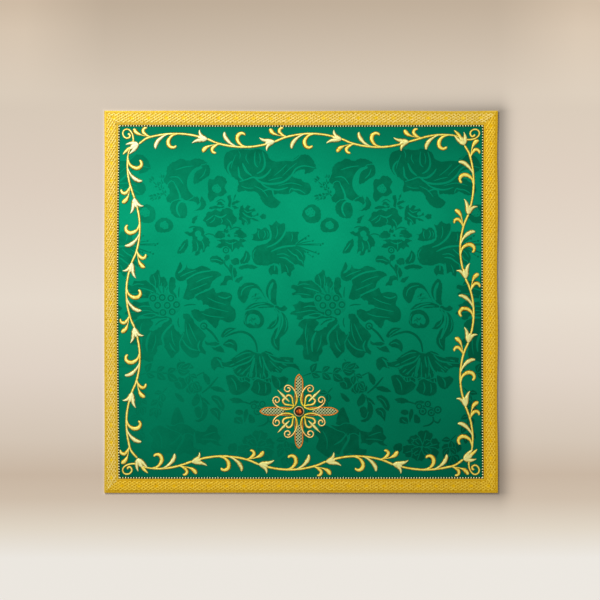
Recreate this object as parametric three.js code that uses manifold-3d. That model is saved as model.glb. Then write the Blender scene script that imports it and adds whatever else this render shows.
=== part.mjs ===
// A chalice veil: a square of damask lying flat, edged with four mitred lengths of gold galloon,
// worked with a running vine along each side and a jewelled scroll cross near the front edge.
// Millimetres, +Z up. The veil lies on z = 0, centred on the origin, with its front edge towards -Y.
import * as THREE from 'three';
import { mergeVertices } from 'three/addons/utils/BufferGeometryUtils.js';
import Module from 'manifold-3d';

const wasm = await Module();
wasm.setup();

// Driving dimensions
const VEIL_WIDTH = 550;
const VEIL_DEPTH = 534;
const CLOTH_THICKNESS = 1.2;
const SEWN_GAP = 0.3;
const TRIM_FLOOR = CLOTH_THICKNESS + SEWN_GAP;
const HEM_SETBACK = 1.4;
const CORNER_RADIUS = 1.6;
const EDGE_STEPS = 20;

const GALLOON_WIDTH = 20;
const PICOT_WIDTH = 2.1;
const PICOT_HEIGHT = 0.4;
const MITRE_GAP = 0.3;

const VINE_SWING = 9.4;
const CORNER_SHEATH = 48;
const VINE_MODULES = 5;

// One row for each side, walked anticlockwise from the front-left corner. waves, sway and phase set how
// far the sewn edge wanders, and bow is what the galloon gains in width half way along. The vine runs
// vineInset from the edge, its first sheath firstSheath from the corner and its last module lastExtra
// longer than the rest.
const SIDES = [
  {
    name: 'bottom', length: VEIL_WIDTH, corner: [-1, -1], waves: 1, sway: 0.3, phase: 0.1, bow: -0.4,
    vineInset: 41.8, firstSheath: 122, lastExtra: 5,
  },
  {
    name: 'right', length: VEIL_DEPTH, corner: [1, -1], waves: 3, sway: 1.2, phase: 0.75, bow: 0.8,
    vineInset: 43.2, firstSheath: 120.5, lastExtra: 8,
  },
  {
    name: 'top', length: VEIL_WIDTH, corner: [1, 1], waves: 2, sway: 0.9, phase: 0.4, bow: 0.5,
    vineInset: 41.6, firstSheath: 124, lastExtra: 2.5,
  },
  {
    name: 'left', length: VEIL_DEPTH, corner: [-1, 1], waves: 1, sway: 0.6, phase: 0.5, bow: -2.6,
    vineInset: 40.4, firstSheath: 122, lastExtra: 2,
  },
];

// Stem of one vine module, from one sheath to the next: the share of the way, and the share of the swing
const STEM_SWING = [
  { along: 0, swing: 0.2 },
  { along: 0.14, swing: 0.6 },
  { along: 0.3, swing: 0.9 },
  { along: 0.46, swing: 1 },
  { along: 0.62, swing: 0.9 },
  { along: 0.76, swing: 0.66 },
  { along: 0.88, swing: 0.32 },
];

// The start of a side's stem, between the petals of the corner sheath, measured from the corner
const STEM_START = [
  { along: 51, inset: 38.4 },
  { along: 59, inset: 35.2 },
  { along: 76, inset: 33.6 },
  { along: 95, inset: 35.4 },
  { along: 109, inset: 39 },
];

// Leaves of one module. before: distance to the next sheath. side: 1 on the hollow side of the stem's
// swing, -1 on its round side. headings: degrees from the run of the side. Headings and widths are given
// at even steps along the leaf.
const LEAVES = [
  {
    before: 57, side: 1, headings: [10, 12, 46, 72, 118, 176, 260], length: 38.5, steps: 9, rise: 1,
    widths: [2, 3.2, 4.6, 5.6, 5.6, 4.8, 2.6],
  },
  {
    before: 43, side: 1, headings: [16, 32, 50, 62], length: 30, steps: 4, rise: 1,
    widths: [1.4, 2.6, 4.4, 5.6, 5.8, 3],
  },
  {
    before: 18, side: -1, headings: [2, 30, 42, 124, 200], length: 23.5, steps: 7, rise: 0.9,
    widths: [2, 3, 4.6, 5.2, 4.2, 2.2],
  },
  {
    before: 18, side: -1, headings: [8, 8, 28, 76], length: 29, steps: 6, rise: 1.1,
    widths: [2, 1.6, 1.6, 2.8, 6.2, 6.2, 2.4],
  },
];

// A sheath that opens along the stem: its body, a short petal on the round side, a long one on the other
const SHEATH = [
  { side: 1, headings: [4, 22], length: 14, steps: 3, rise: 1.3, widths: [3, 8.6, 7.8, 1.6] },
  {
    side: 1, headings: [18, 28, 62, 104], length: 19, steps: 4, rise: 1.2,
    widths: [2.4, 5.8, 5.4, 4, 0.8],
  },
  {
    side: -1, headings: [18, 0, 16, 42], length: 23, steps: 4, rise: 1.2,
    widths: [2.4, 6, 6, 4.2, 0.8],
  },
];

// The corner sheath and its curl, and the pointed leaf that starts the next side, in the same terms
const CORNER_SPRAY = [
  { root: [0, 0], headings: [16, 44], length: 14, steps: 3, rise: 1.3, widths: [3.4, 9, 8.4, 2.4] },
  {
    root: [0, 0], headings: [-20, 24], length: 18.5, steps: 4, rise: 1.2,
    widths: [3, 5.8, 5.6, 3.8, 0.8],
  },
  {
    root: [0, 0], headings: [52, 42], length: 19, steps: 4, rise: 1.2, widths: [3, 5.8, 5.6, 3.8, 0.8],
  },
  {
    root: [8.5, 0], length: 56, steps: 21, rise: 0.9,
    headings: [-112, -88, -72, -44, 26, 94, 146, 232, 380], widths: [3, 2.4, 2.2, 2.2, 2.2, 2.6, 3.8],
  },
];
const START_LEAF = { headings: [-54, -40], length: 15, steps: 3, rise: 1, widths: [3, 5, 3.6, 0.8] };

// Cross: its centre, the reach of its arms, and the strokes of half a quarter, from the diagonal outwards
const CROSS_AT = [-2.9, -153];
const ARM_REACH = { across: 55.2, along: 52.2 };
const ARM_ROOT = 9;
const ARM = {
  rise: 0.6, steps: 12, widths: [11, 11.6, 12, 12.4, 12.4, 12.4, 12.4, 12.4, 12.4, 12.2, 10.8, 7.8, 0.8],
};
const QUARTER = [
  {
    root: [9.4, 0], length: 62, steps: 26, rise: 1.1,
    headings: [88, 60, 38, 22, 6, -22, -104, -190, -290, -450], widths: [3, 3, 2.8, 2.6, 2.4, 2.6, 2.8],
  },
  {
    root: [9.4, 0], headings: [14, 34, 42, 10, -44, -150], length: 24, steps: 9, rise: 0.9,
    widths: [2.4, 2.8, 3.2, 3.4, 3.2, 3.2],
  },
];
const DART = {
  root: [18.5, 0], headings: [0, 0], length: 24, steps: 4, rise: 1.2, widths: [1.6, 3.6, 4.3, 2.8, 0.6],
};

const RING = { inner: 5.4, outer: 7.4, height: 1.5, sides: 28 };
const STONE = { radius: 4.9, girdle: 1.1, table: 2.9, height: 2.5, facets: 8 };

const RAD = Math.PI / 180;

function cornerOf(side) {
  return [side.corner[0] * VEIL_WIDTH / 2, side.corner[1] * VEIL_DEPTH / 2];
}

// Solids and booleans

function solidOf(geometry) {
  const bare = new THREE.BufferGeometry();
  bare.setAttribute('position', geometry.getAttribute('position'));
  bare.setIndex(geometry.getIndex());
  const merged = mergeVertices(bare, 1e-4);
  return new wasm.Manifold(new wasm.Mesh({
    numProp: 3,
    vertProperties: new Float32Array(merged.getAttribute('position').array),
    triVerts: new Uint32Array(merged.getIndex().array),
  }));
}

function geometryOf(solid) {
  const { vertProperties, triVerts } = solid.getMesh();
  const geometry = new THREE.BufferGeometry();
  geometry.setAttribute('position', new THREE.BufferAttribute(vertProperties, 3));
  geometry.setIndex(new THREE.BufferAttribute(triVerts, 1));
  geometry.computeVertexNormals();
  return geometry;
}

function fused(geometries) {
  const whole = geometries.map(solidOf).reduce((sum, solid) => sum.add(solid));
  return geometryOf(whole);
}

// A closed body from rings of points, each ring lying round the one cross-section, with flat ends
function lofted(rings) {
  const size = rings[0].length;
  const positions = rings.flat().flatMap((p) => [p.x, p.y, p.z]);
  const faces = [];
  for (let i = 0; i + 1 < rings.length; i += 1) {
    for (let j = 0; j < size; j += 1) {
      const a = i * size + j;
      const b = i * size + ((j + 1) % size);
      faces.push(a, a + size, b, b, a + size, b + size);
    }
  }
  const last = (rings.length - 1) * size;
  for (const [first, turned] of [[0, false], [last, true]]) {
    const ring = rings[first / size];
    const run = new THREE.Vector2(ring[size - 1].x - ring[0].x, ring[size - 1].y - ring[0].y).normalize();
    const along = (p) => (p.x - ring[0].x) * run.x + (p.y - ring[0].y) * run.y;
    const flat = ring.map((p) => new THREE.Vector2(along(p), p.z));
    const clockwise = THREE.ShapeUtils.isClockWise(flat);
    for (const [a, b, c] of THREE.ShapeUtils.triangulateShape(flat, [])) {
      const face = [first + a, first + b, first + c];
      faces.push(...(turned === clockwise ? face : face.reverse()));
    }
  }
  const geometry = new THREE.BufferGeometry();
  geometry.setAttribute('position', new THREE.Float32BufferAttribute(positions, 3));
  geometry.setIndex(faces);
  return geometry;
}

// Embroidery strokes

// The value at share t of a list of values that are set at even steps
function blended(values, t) {
  const at = Math.min(t, 1) * (values.length - 1);
  const low = Math.min(Math.floor(at), values.length - 2);
  return THREE.MathUtils.lerp(values[low], values[low + 1], at - low);
}

// Points of a line that steps along its headings from a start; turn -1 mirrors it
function tendril({ headings, length, steps }, start, turn = 1) {
  const points = [start.clone()];
  for (let i = 0; i < steps; i += 1) {
    const angle = turn * blended(headings, (i + 0.5) / steps) * RAD;
    const step = new THREE.Vector2(Math.cos(angle), Math.sin(angle)).multiplyScalar(length / steps);
    points.push(points[i].clone().add(step));
  }
  return points;
}

// A raised stroke of satin stitch: a low ridge along the points, highest down its middle
function stroke(points, widths, rise) {
  const rings = points.map((point, i) => {
    const before = points[Math.max(i - 1, 0)];
    const after = points[Math.min(i + 1, points.length - 1)];
    const out = after.clone().sub(before).normalize().rotateAround(new THREE.Vector2(), -Math.PI / 2);
    const half = blended(widths, i / (points.length - 1)) / 2;
    const crown = rise * Math.min(1, 0.45 + half / 3);
    return [
      new THREE.Vector3(point.x + out.x * half, point.y + out.y * half, 0),
      new THREE.Vector3(point.x, point.y, crown),
      new THREE.Vector3(point.x - out.x * half, point.y - out.y * half, 0),
    ];
  });
  return lofted(rings);
}

// Vine along one side. Its own frame has x along the side from the corner and y into the cloth.

function sheathPlaces(side) {
  const end = side.length - CORNER_SHEATH;
  const module = (end - side.firstSheath - side.lastExtra) / (VINE_MODULES - 1);
  const places = Array.from({ length: VINE_MODULES - 1 }, (_, i) => side.firstSheath + i * module);
  return [...places, end];
}

function stemCurve(side, places) {
  const points = STEM_START.map((p) => new THREE.Vector3(p.along, p.inset - 41.6 + side.vineInset, 0));
  for (let m = 0; m + 1 < places.length; m += 1) {
    const swings = m % 2 === 0 ? 1 : -1;
    for (const { along, swing } of STEM_SWING) {
      const x = THREE.MathUtils.lerp(places[m], places[m + 1], along);
      points.push(new THREE.Vector3(x, side.vineInset + swings * swing * VINE_SWING, 0));
    }
  }
  points.push(new THREE.Vector3(side.length - CORNER_SHEATH, CORNER_SHEATH - 1, 0));
  return new THREE.CatmullRomCurve3(points, false, 'centripetal');
}

function flatten(points) {
  return points.map((p) => new THREE.Vector2(p.x, p.y));
}

// The stem's place where it passes a distance along the side
function stemAt(line, x) {
  const i = Math.max(1, line.findIndex((p) => p.x >= x));
  const [a, b] = [line[i - 1], line[i]];
  return a.clone().lerp(b, (x - a.x) / (b.x - a.x));
}

function vine(side) {
  const places = sheathPlaces(side);
  const curve = stemCurve(side, places);
  const fine = flatten(curve.getSpacedPoints(240));
  const stem = flatten(curve.getSpacedPoints(42));
  const parts = [stroke(stem, [2, 3, 2.8, 3, 2.8, 3, 2.8, 3, 3.2], 0.9)];
  places.forEach((place, m) => {
    const hollow = m % 2 === 0 ? 1 : -1;
    for (const leaf of LEAVES) {
      const points = tendril(leaf, stemAt(fine, place - leaf.before), leaf.side * hollow);
      parts.push(stroke(points, leaf.widths, leaf.rise));
    }
    if (m < places.length - 1) {
      for (const petal of SHEATH) {
        const points = tendril(petal, stemAt(fine, place), petal.side * hollow);
        parts.push(stroke(points, petal.widths, petal.rise));
      }
    }
  });
  const corner = stem[stem.length - 1];
  for (const petal of CORNER_SPRAY) {
    const root = new THREE.Vector2(...petal.root).add(corner);
    parts.push(stroke(tendril(petal, root), petal.widths, petal.rise));
  }
  parts.push(stroke(tendril(START_LEAF, stem[0]), START_LEAF.widths, START_LEAF.rise));
  return parts;
}

// The whole vine runs on from side to side through the corner sheaths, so it is one piece
function vineEmbroidery() {
  return fused(SIDES.flatMap((side, i) => vine(side).map((part) => (
    part.rotateZ(i * Math.PI / 2).translate(...cornerOf(side), 0)))));
}

// Galloon: a flat woven band with a raised middle, plain selvedges and a thin looped edge inside.
// across: share of the band's width from its outer edge. height: above the cloth.
const BAND_SECTION = [
  { across: 0, height: 0 },
  { across: 0, height: 0.55 },
  { across: 0.04, height: 0.75 },
  { across: 0.2, height: 0.75 },
  { across: 0.24, height: 1.05 },
  { across: 0.8, height: 1.05 },
  { across: 0.84, height: 0.75 },
  { across: 1, height: 0.7 },
];

// How far the sewn edge stands in from a straight one, nothing at the corners
function edgeWander(side, t) {
  const wave = 0.5 - 0.5 * Math.cos(2 * Math.PI * (side.waves * t + side.phase));
  return side.sway * wave * Math.min(1, 8 * t, 8 * (1 - t));
}

function galloon(side) {
  const picot = GALLOON_WIDTH + PICOT_WIDTH;
  const section = BAND_SECTION.map((p) => ({ inset: p.across * GALLOON_WIDTH, height: p.height }));
  section.push(
    { inset: GALLOON_WIDTH, height: PICOT_HEIGHT },
    { inset: picot, height: PICOT_HEIGHT },
    { inset: picot, height: 0 },
  );
  const rings = [];
  for (let i = 0; i <= EDGE_STEPS; i += 1) {
    const t = i / EDGE_STEPS;
    const wander = edgeWander(side, t);
    const bow = side.bow * Math.sin(Math.PI * t);
    rings.push(section.map(({ inset, height }) => new THREE.Vector3(
      THREE.MathUtils.lerp(inset + MITRE_GAP, side.length - inset - MITRE_GAP, t),
      inset + wander * (1 - inset / picot) + bow * (inset / picot),
      height,
    )));
  }
  return lofted(rings);
}

// Cloth: the damask panel, its hem turned in just inside the galloon's outer edge

function panelOutline() {
  const outline = [];
  for (const side of SIDES) {
    const start = new THREE.Vector2(...cornerOf(side));
    const turn = SIDES.indexOf(side) * Math.PI / 2;
    const inset = HEM_SETBACK;
    const local = [];
    for (let k = 0; k <= 2; k += 1) {
      const angle = Math.PI + (Math.PI / 4) * k;
      const centre = inset + CORNER_RADIUS;
      local.push([centre + CORNER_RADIUS * Math.cos(angle), centre + CORNER_RADIUS * Math.sin(angle)]);
    }
    for (let i = 1; i < EDGE_STEPS; i += 1) {
      const t = i / EDGE_STEPS;
      local.push([t * side.length, inset + edgeWander(side, t)]);
    }
    for (const [x, y] of local) {
      outline.push(new THREE.Vector2(x, y).rotateAround(new THREE.Vector2(), turn).add(start));
    }
  }
  return outline;
}

function clothPanel() {
  const shape = new THREE.Shape(panelOutline());
  return new THREE.ExtrudeGeometry(shape, { depth: CLOTH_THICKNESS, bevelEnabled: false });
}

// Cross: four pointed arms, and in each quarter a double scroll, a pair of lobes and a dart

function crossQuarter() {
  const parts = [];
  for (const line of QUARTER) {
    const root = new THREE.Vector2(...line.root);
    parts.push(stroke(tendril(line, root), line.widths, line.rise));
    parts.push(stroke(tendril(line, root, -1), line.widths, line.rise));
  }
  parts.push(stroke(tendril(DART, new THREE.Vector2(...DART.root)), DART.widths, DART.rise));
  return parts.map((part) => part.rotateZ(Math.PI / 4));
}

function crossArm(reach) {
  const arm = { headings: [0, 0], length: reach - ARM_ROOT, steps: ARM.steps };
  return stroke(tendril(arm, new THREE.Vector2(ARM_ROOT, 0)), ARM.widths, ARM.rise);
}

function crossEmbroidery() {
  const parts = [];
  for (let quarter = 0; quarter < 4; quarter += 1) {
    const turn = quarter * Math.PI / 2;
    const reach = quarter % 2 === 0 ? ARM_REACH.across : ARM_REACH.along;
    parts.push(...crossQuarter().map((part) => part.rotateZ(turn)));
    parts.push(crossArm(reach).rotateZ(turn));
  }
  return fused(parts);
}

// Stone and its ring

function lathe(profile, sides) {
  const points = profile.map(([r, z]) => new THREE.Vector2(r, z));
  return new THREE.LatheGeometry(points, sides).rotateX(Math.PI / 2);
}

function stoneRing() {
  const { inner, outer, height, sides } = RING;
  const middle = (inner + outer) / 2;
  const shoulder = height * 0.55;
  const profile = [
    [inner, 0],
    [outer, 0],
    [outer, shoulder],
    [middle, height],
    [inner, shoulder],
    [inner, 0],
  ];
  return geometryOf(solidOf(lathe(profile, sides)));
}

function stone() {
  const { radius, girdle, table, height, facets } = STONE;
  const profile = [
    [0, 0],
    [radius, 0],
    [radius, girdle],
    [(radius + table) / 2, height * 0.8],
    [table, height],
    [0, height],
  ];
  return geometryOf(solidOf(lathe(profile, facets)));
}

// Materials and assembly

function finish(color, roughness, metalness = 0) {
  return new THREE.MeshStandardMaterial({ color, roughness, metalness, side: THREE.FrontSide });
}

const damask = finish(0x00825c, 0.55);
const goldBraid = finish(0xdcb03a, 0.45, 0.35);
const goldThread = finish(0xe8c860, 0.4, 0.3);
const crossThread = finish(0xd9a24a, 0.45, 0.3);
const ringThread = finish(0xe6d79a, 0.4, 0.3);
const amberStone = finish(0x7a1d0c, 0.1);

const veil = new THREE.Group();

function place(name, geometry, material, [x, y, z], turn = 0) {
  const mesh = new THREE.Mesh(geometry, material);
  mesh.name = name;
  mesh.position.set(x, y, z);
  mesh.rotation.z = turn;
  veil.add(mesh);
}

place('damask_panel', clothPanel(), damask, [0, 0, 0]);
SIDES.forEach((side, i) => {
  place(`galloon_${side.name}`, galloon(side), goldBraid, [...cornerOf(side), TRIM_FLOOR], i * Math.PI / 2);
});
place('vine_embroidery', vineEmbroidery(), goldThread, [0, 0, TRIM_FLOOR]);
place('cross_embroidery', crossEmbroidery(), crossThread, [...CROSS_AT, TRIM_FLOOR]);
place('stone_ring', stoneRing(), ringThread, [...CROSS_AT, TRIM_FLOOR]);
place('stone', stone(), amberStone, [...CROSS_AT, TRIM_FLOOR]);

export default veil;
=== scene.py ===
import math
from bisect import bisect_left
from functools import partial

import bpy
import numpy as np
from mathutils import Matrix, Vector
from mathutils.geometry import delaunay_2d_cdt


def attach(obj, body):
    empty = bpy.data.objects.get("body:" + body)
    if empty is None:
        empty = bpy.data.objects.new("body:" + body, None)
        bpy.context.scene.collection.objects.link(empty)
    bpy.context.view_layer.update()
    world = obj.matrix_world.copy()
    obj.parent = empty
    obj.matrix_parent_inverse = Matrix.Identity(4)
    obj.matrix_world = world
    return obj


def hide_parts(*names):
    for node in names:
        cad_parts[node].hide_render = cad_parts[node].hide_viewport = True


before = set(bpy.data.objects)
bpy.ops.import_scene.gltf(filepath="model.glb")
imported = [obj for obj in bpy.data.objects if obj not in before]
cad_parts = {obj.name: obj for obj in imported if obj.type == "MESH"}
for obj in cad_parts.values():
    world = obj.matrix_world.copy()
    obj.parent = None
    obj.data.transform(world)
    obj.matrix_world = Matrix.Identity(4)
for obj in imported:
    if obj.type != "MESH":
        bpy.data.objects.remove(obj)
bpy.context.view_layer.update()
bpy.ops.object.select_all(action="DESELECT")


# The camera hangs straight above the veil, which lies face up. The photograph takes in 839 mm of
# the surface from side to side, and its middle lies a little left of the veil's and a little behind.
view_width = 0.8388
view_middle = (-0.0015, 0.0025)
camera_height = 2.0
bpy.ops.object.camera_add(location=(*view_middle, camera_height), rotation=(0, 0, 0))
camera = bpy.context.object
camera.name = "overhead_camera"
camera.data.lens = camera.data.sensor_width * camera_height / view_width
camera.data.clip_end = 20
bpy.context.scene.camera = camera


# The cloth is one square of green silk damask, its figure of blooms, leaves and fruit woven in dull
# twill on a bright satin ground. Its raw edges turn in under the galloon, so the square is whole.
# Its sizes and those of the trim are in millimetres, and MM turns them into the frame's metres.
MM = 0.001
cloth_top = 1.2
hem_setback = 1.4
corner_radius = 1.6
hem_steps = 20
quarter_turns = ((1, 0), (0, 1), (-1, 0), (0, -1))
# each side's length and first corner, how its edge wanders, how its galloon bows, how far in its
# vine runs, where the vine's first sheath stands, and what its last swing adds
veil_sides = (
    dict(name="bottom", length=550, corner=(-275, -267), waves=1, sway=0.3, phase=0.1,
         bow=-0.4, vine=41.8, first=122, extra=5),
    dict(name="right", length=534, corner=(275, -267), waves=3, sway=1.2, phase=0.75,
         bow=0.8, vine=43.2, first=120.5, extra=8),
    dict(name="top", length=550, corner=(275, 267), waves=2, sway=0.9, phase=0.4,
         bow=0.5, vine=41.6, first=124, extra=2.5),
    dict(name="left", length=534, corner=(-275, 267), waves=1, sway=0.6, phase=0.5,
         bow=-2.6, vine=40.4, first=122, extra=2),
)


def edge_wander(side, t):
    """How far in the edge lies at share t of a side, none at its corners."""
    wave = 0.5 - 0.5 * math.cos(2 * math.pi * (side["waves"] * t + side["phase"]))
    return side["sway"] * wave * min(1, 8 * t, 8 * (1 - t))


def on_veil(side, x, y):
    """A point x along a side and y in from its edge, in the veil's own place."""
    c, s = quarter_turns[veil_sides.index(side)]
    return side["corner"][0] + x * c - y * s, side["corner"][1] + x * s + y * c


hem_line = []
for side in veil_sides:
    inset = hem_setback + corner_radius
    for k in range(3):
        angle = math.pi + math.pi / 4 * k
        rounded = (inset + corner_radius * math.cos(angle), inset + corner_radius * math.sin(angle))
        hem_line.append(on_veil(side, *rounded))
    for i in range(1, hem_steps):
        t = i / hem_steps
        hem_line.append(on_veil(side, side["length"] * i / hem_steps, hem_setback + edge_wander(side, t)))


# the woven figure: outlines in millimetres, each with its shade, from 0 for the bright ground to 1
# for the dull twill, and the later ones lie on top
figure_shapes = []
figure_repeat = 231
selvedge_shade = 0.1


def smooth_through(points, closed=True, steps=4):
    """A smooth curve through the points of a drawn outline."""
    count = len(points)
    curve = []
    for i in range(count if closed else count - 1):
        near = [k % count if closed else min(max(k, 0), count - 1) for k in range(i - 1, i + 3)]
        a, b, c, d = (points[k] for k in near)
        for j in range(steps):
            t = j / steps
            curve.append(tuple(
                b[k] + t * (c[k] - a[k]) / 2 + t * t * (a[k] - 2.5 * b[k] + 2 * c[k] - d[k] / 2)
                + t ** 3 * (1.5 * (b[k] - c[k]) + (d[k] - a[k]) / 2) for k in (0, 1)))
    return curve if closed else curve + [tuple(points[-1])]


def woven_shape(x, points, shade=1.0, edge=1.3, frill=0.5):
    """A petal, leaf or hollow in a drawn outline, its rim frilled and edged with a thin bright line."""
    points = [(x + px, py) for px, py in points]
    turn = sum(a[0] * b[1] - b[0] * a[1] for a, b in zip(points, points[1:] + points[:1]))
    line = smooth_through(points if turn > 0 else points[::-1])
    gone = 0
    rim, inner = [], []
    for i, (px, py) in enumerate(line):
        before, after = line[i - 1], line[(i + 1) % len(line)]
        dx, dy = after[0] - before[0], after[1] - before[1]
        reach = math.hypot(dx, dy) or 1
        gone += math.hypot(px - before[0], py - before[1])
        scallop = abs(math.sin(gone * 0.55)) ** 0.7 - 0.4
        wave = 1.5 * frill * scallop * (0.6 + 0.4 * math.sin(gone * 0.17 + px))
        for outline, inset in ((rim, 0), (inner, edge)):
            outline.append((px + dy / reach * (wave - inset), py - dx / reach * (wave - inset)))
    figure_shapes.append((rim, selvedge_shade))
    figure_shapes.append((inner, shade))


def woven_stroke(x, points, width, shade=selvedge_shade):
    """A thin line through the points, narrowing at both ends."""
    line = smooth_through([(x + px, py) for px, py in points], False)
    left, right = [], []
    for i, (px, py) in enumerate(line):
        before, after = line[max(i - 1, 0)], line[min(i + 1, len(line) - 1)]
        dx, dy = after[0] - before[0], after[1] - before[1]
        reach = math.hypot(dx, dy) or 1
        half = width / 2 * (0.3 + 0.7 * math.sin(math.pi * i / (len(line) - 1)) ** 0.7)
        left.append((px - dy / reach * half, py + dx / reach * half))
        right.append((px + dy / reach * half, py - dx / reach * half))
    figure_shapes.append((left + right[::-1], shade))


def woven_ring(x, y, radius, width=1.4, core=1.0, outer=1.0):
    """A round berry or eye: its bright edge, its ring, the bright line inside the ring, and its core."""
    rings = ((radius + 0.9, selvedge_shade), (radius, outer),
             (radius - width, selvedge_shade), (radius - 2 * width, core))
    for reach, shade in rings:
        if reach > 0.6:
            sides = 14 if reach > 4 else 9
            turns = [2 * math.pi * k / sides for k in range(sides)]
            circle = [(x + reach * math.cos(a), y + reach * math.sin(a)) for a in turns]
            figure_shapes.append((circle, shade))


def small_leaf(x, y, heading, length, width, bend=20, shade=1.0):
    """A small pointed leaf with a bright rib."""
    a, b = math.radians(heading), math.radians(heading + bend)
    mid = (x + 0.5 * length * math.cos(a), y + 0.5 * length * math.sin(a))
    tip = (mid[0] + 0.5 * length * math.cos(b), mid[1] + 0.5 * length * math.sin(b))
    side = (-math.sin((a + b) / 2) * width / 2, math.cos((a + b) / 2) * width / 2)
    low = (mid[0] * 0.7 + x * 0.3, mid[1] * 0.7 + y * 0.3)
    high = (mid[0] * 0.6 + tip[0] * 0.4, mid[1] * 0.6 + tip[1] * 0.4)
    left_edge = [(low[0] + side[0], low[1] + side[1]), (high[0] + 0.8 * side[0], high[1] + 0.8 * side[1])]
    right_edge = [(high[0] - 0.8 * side[0], high[1] - 0.8 * side[1]), (low[0] - side[0], low[1] - side[1])]
    woven_shape(0, [(x, y), *left_edge, tip, *right_edge], shade, 0.9, 0.3)
    if length > 11:
        rib_start = (x * 0.7 + mid[0] * 0.3, y * 0.7 + mid[1] * 0.3)
        rib_end = (mid[0] * 0.5 + tip[0] * 0.5, mid[1] * 0.5 + tip[1] * 0.5)
        woven_stroke(0, (rib_start, mid, rib_end), 1.1)


def leafed_twig(x, points, size, shade=1.0):
    """A bending twig with leaves in pairs and one at its tip."""
    line = smooth_through([(x + px, py) for px, py in points], False, 3)
    woven_stroke(0, line, 3.2)
    woven_stroke(0, line, 1.8, shade)
    for i in range(2, len(line), 2):
        px, py = line[i]
        heading = math.degrees(math.atan2(py - line[i - 1][1], px - line[i - 1][0]))
        for hand in (1, -1):
            reach = size * (1.15 + 0.2 * math.sin(2.6 * i + hand))
            small_leaf(px, py, heading + hand * (62 - 3 * i), reach, reach * 0.6, -hand * 28, shade)
    small_leaf(*line[-1], heading, size * 1.2, size * 0.62, 16, shade)


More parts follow.
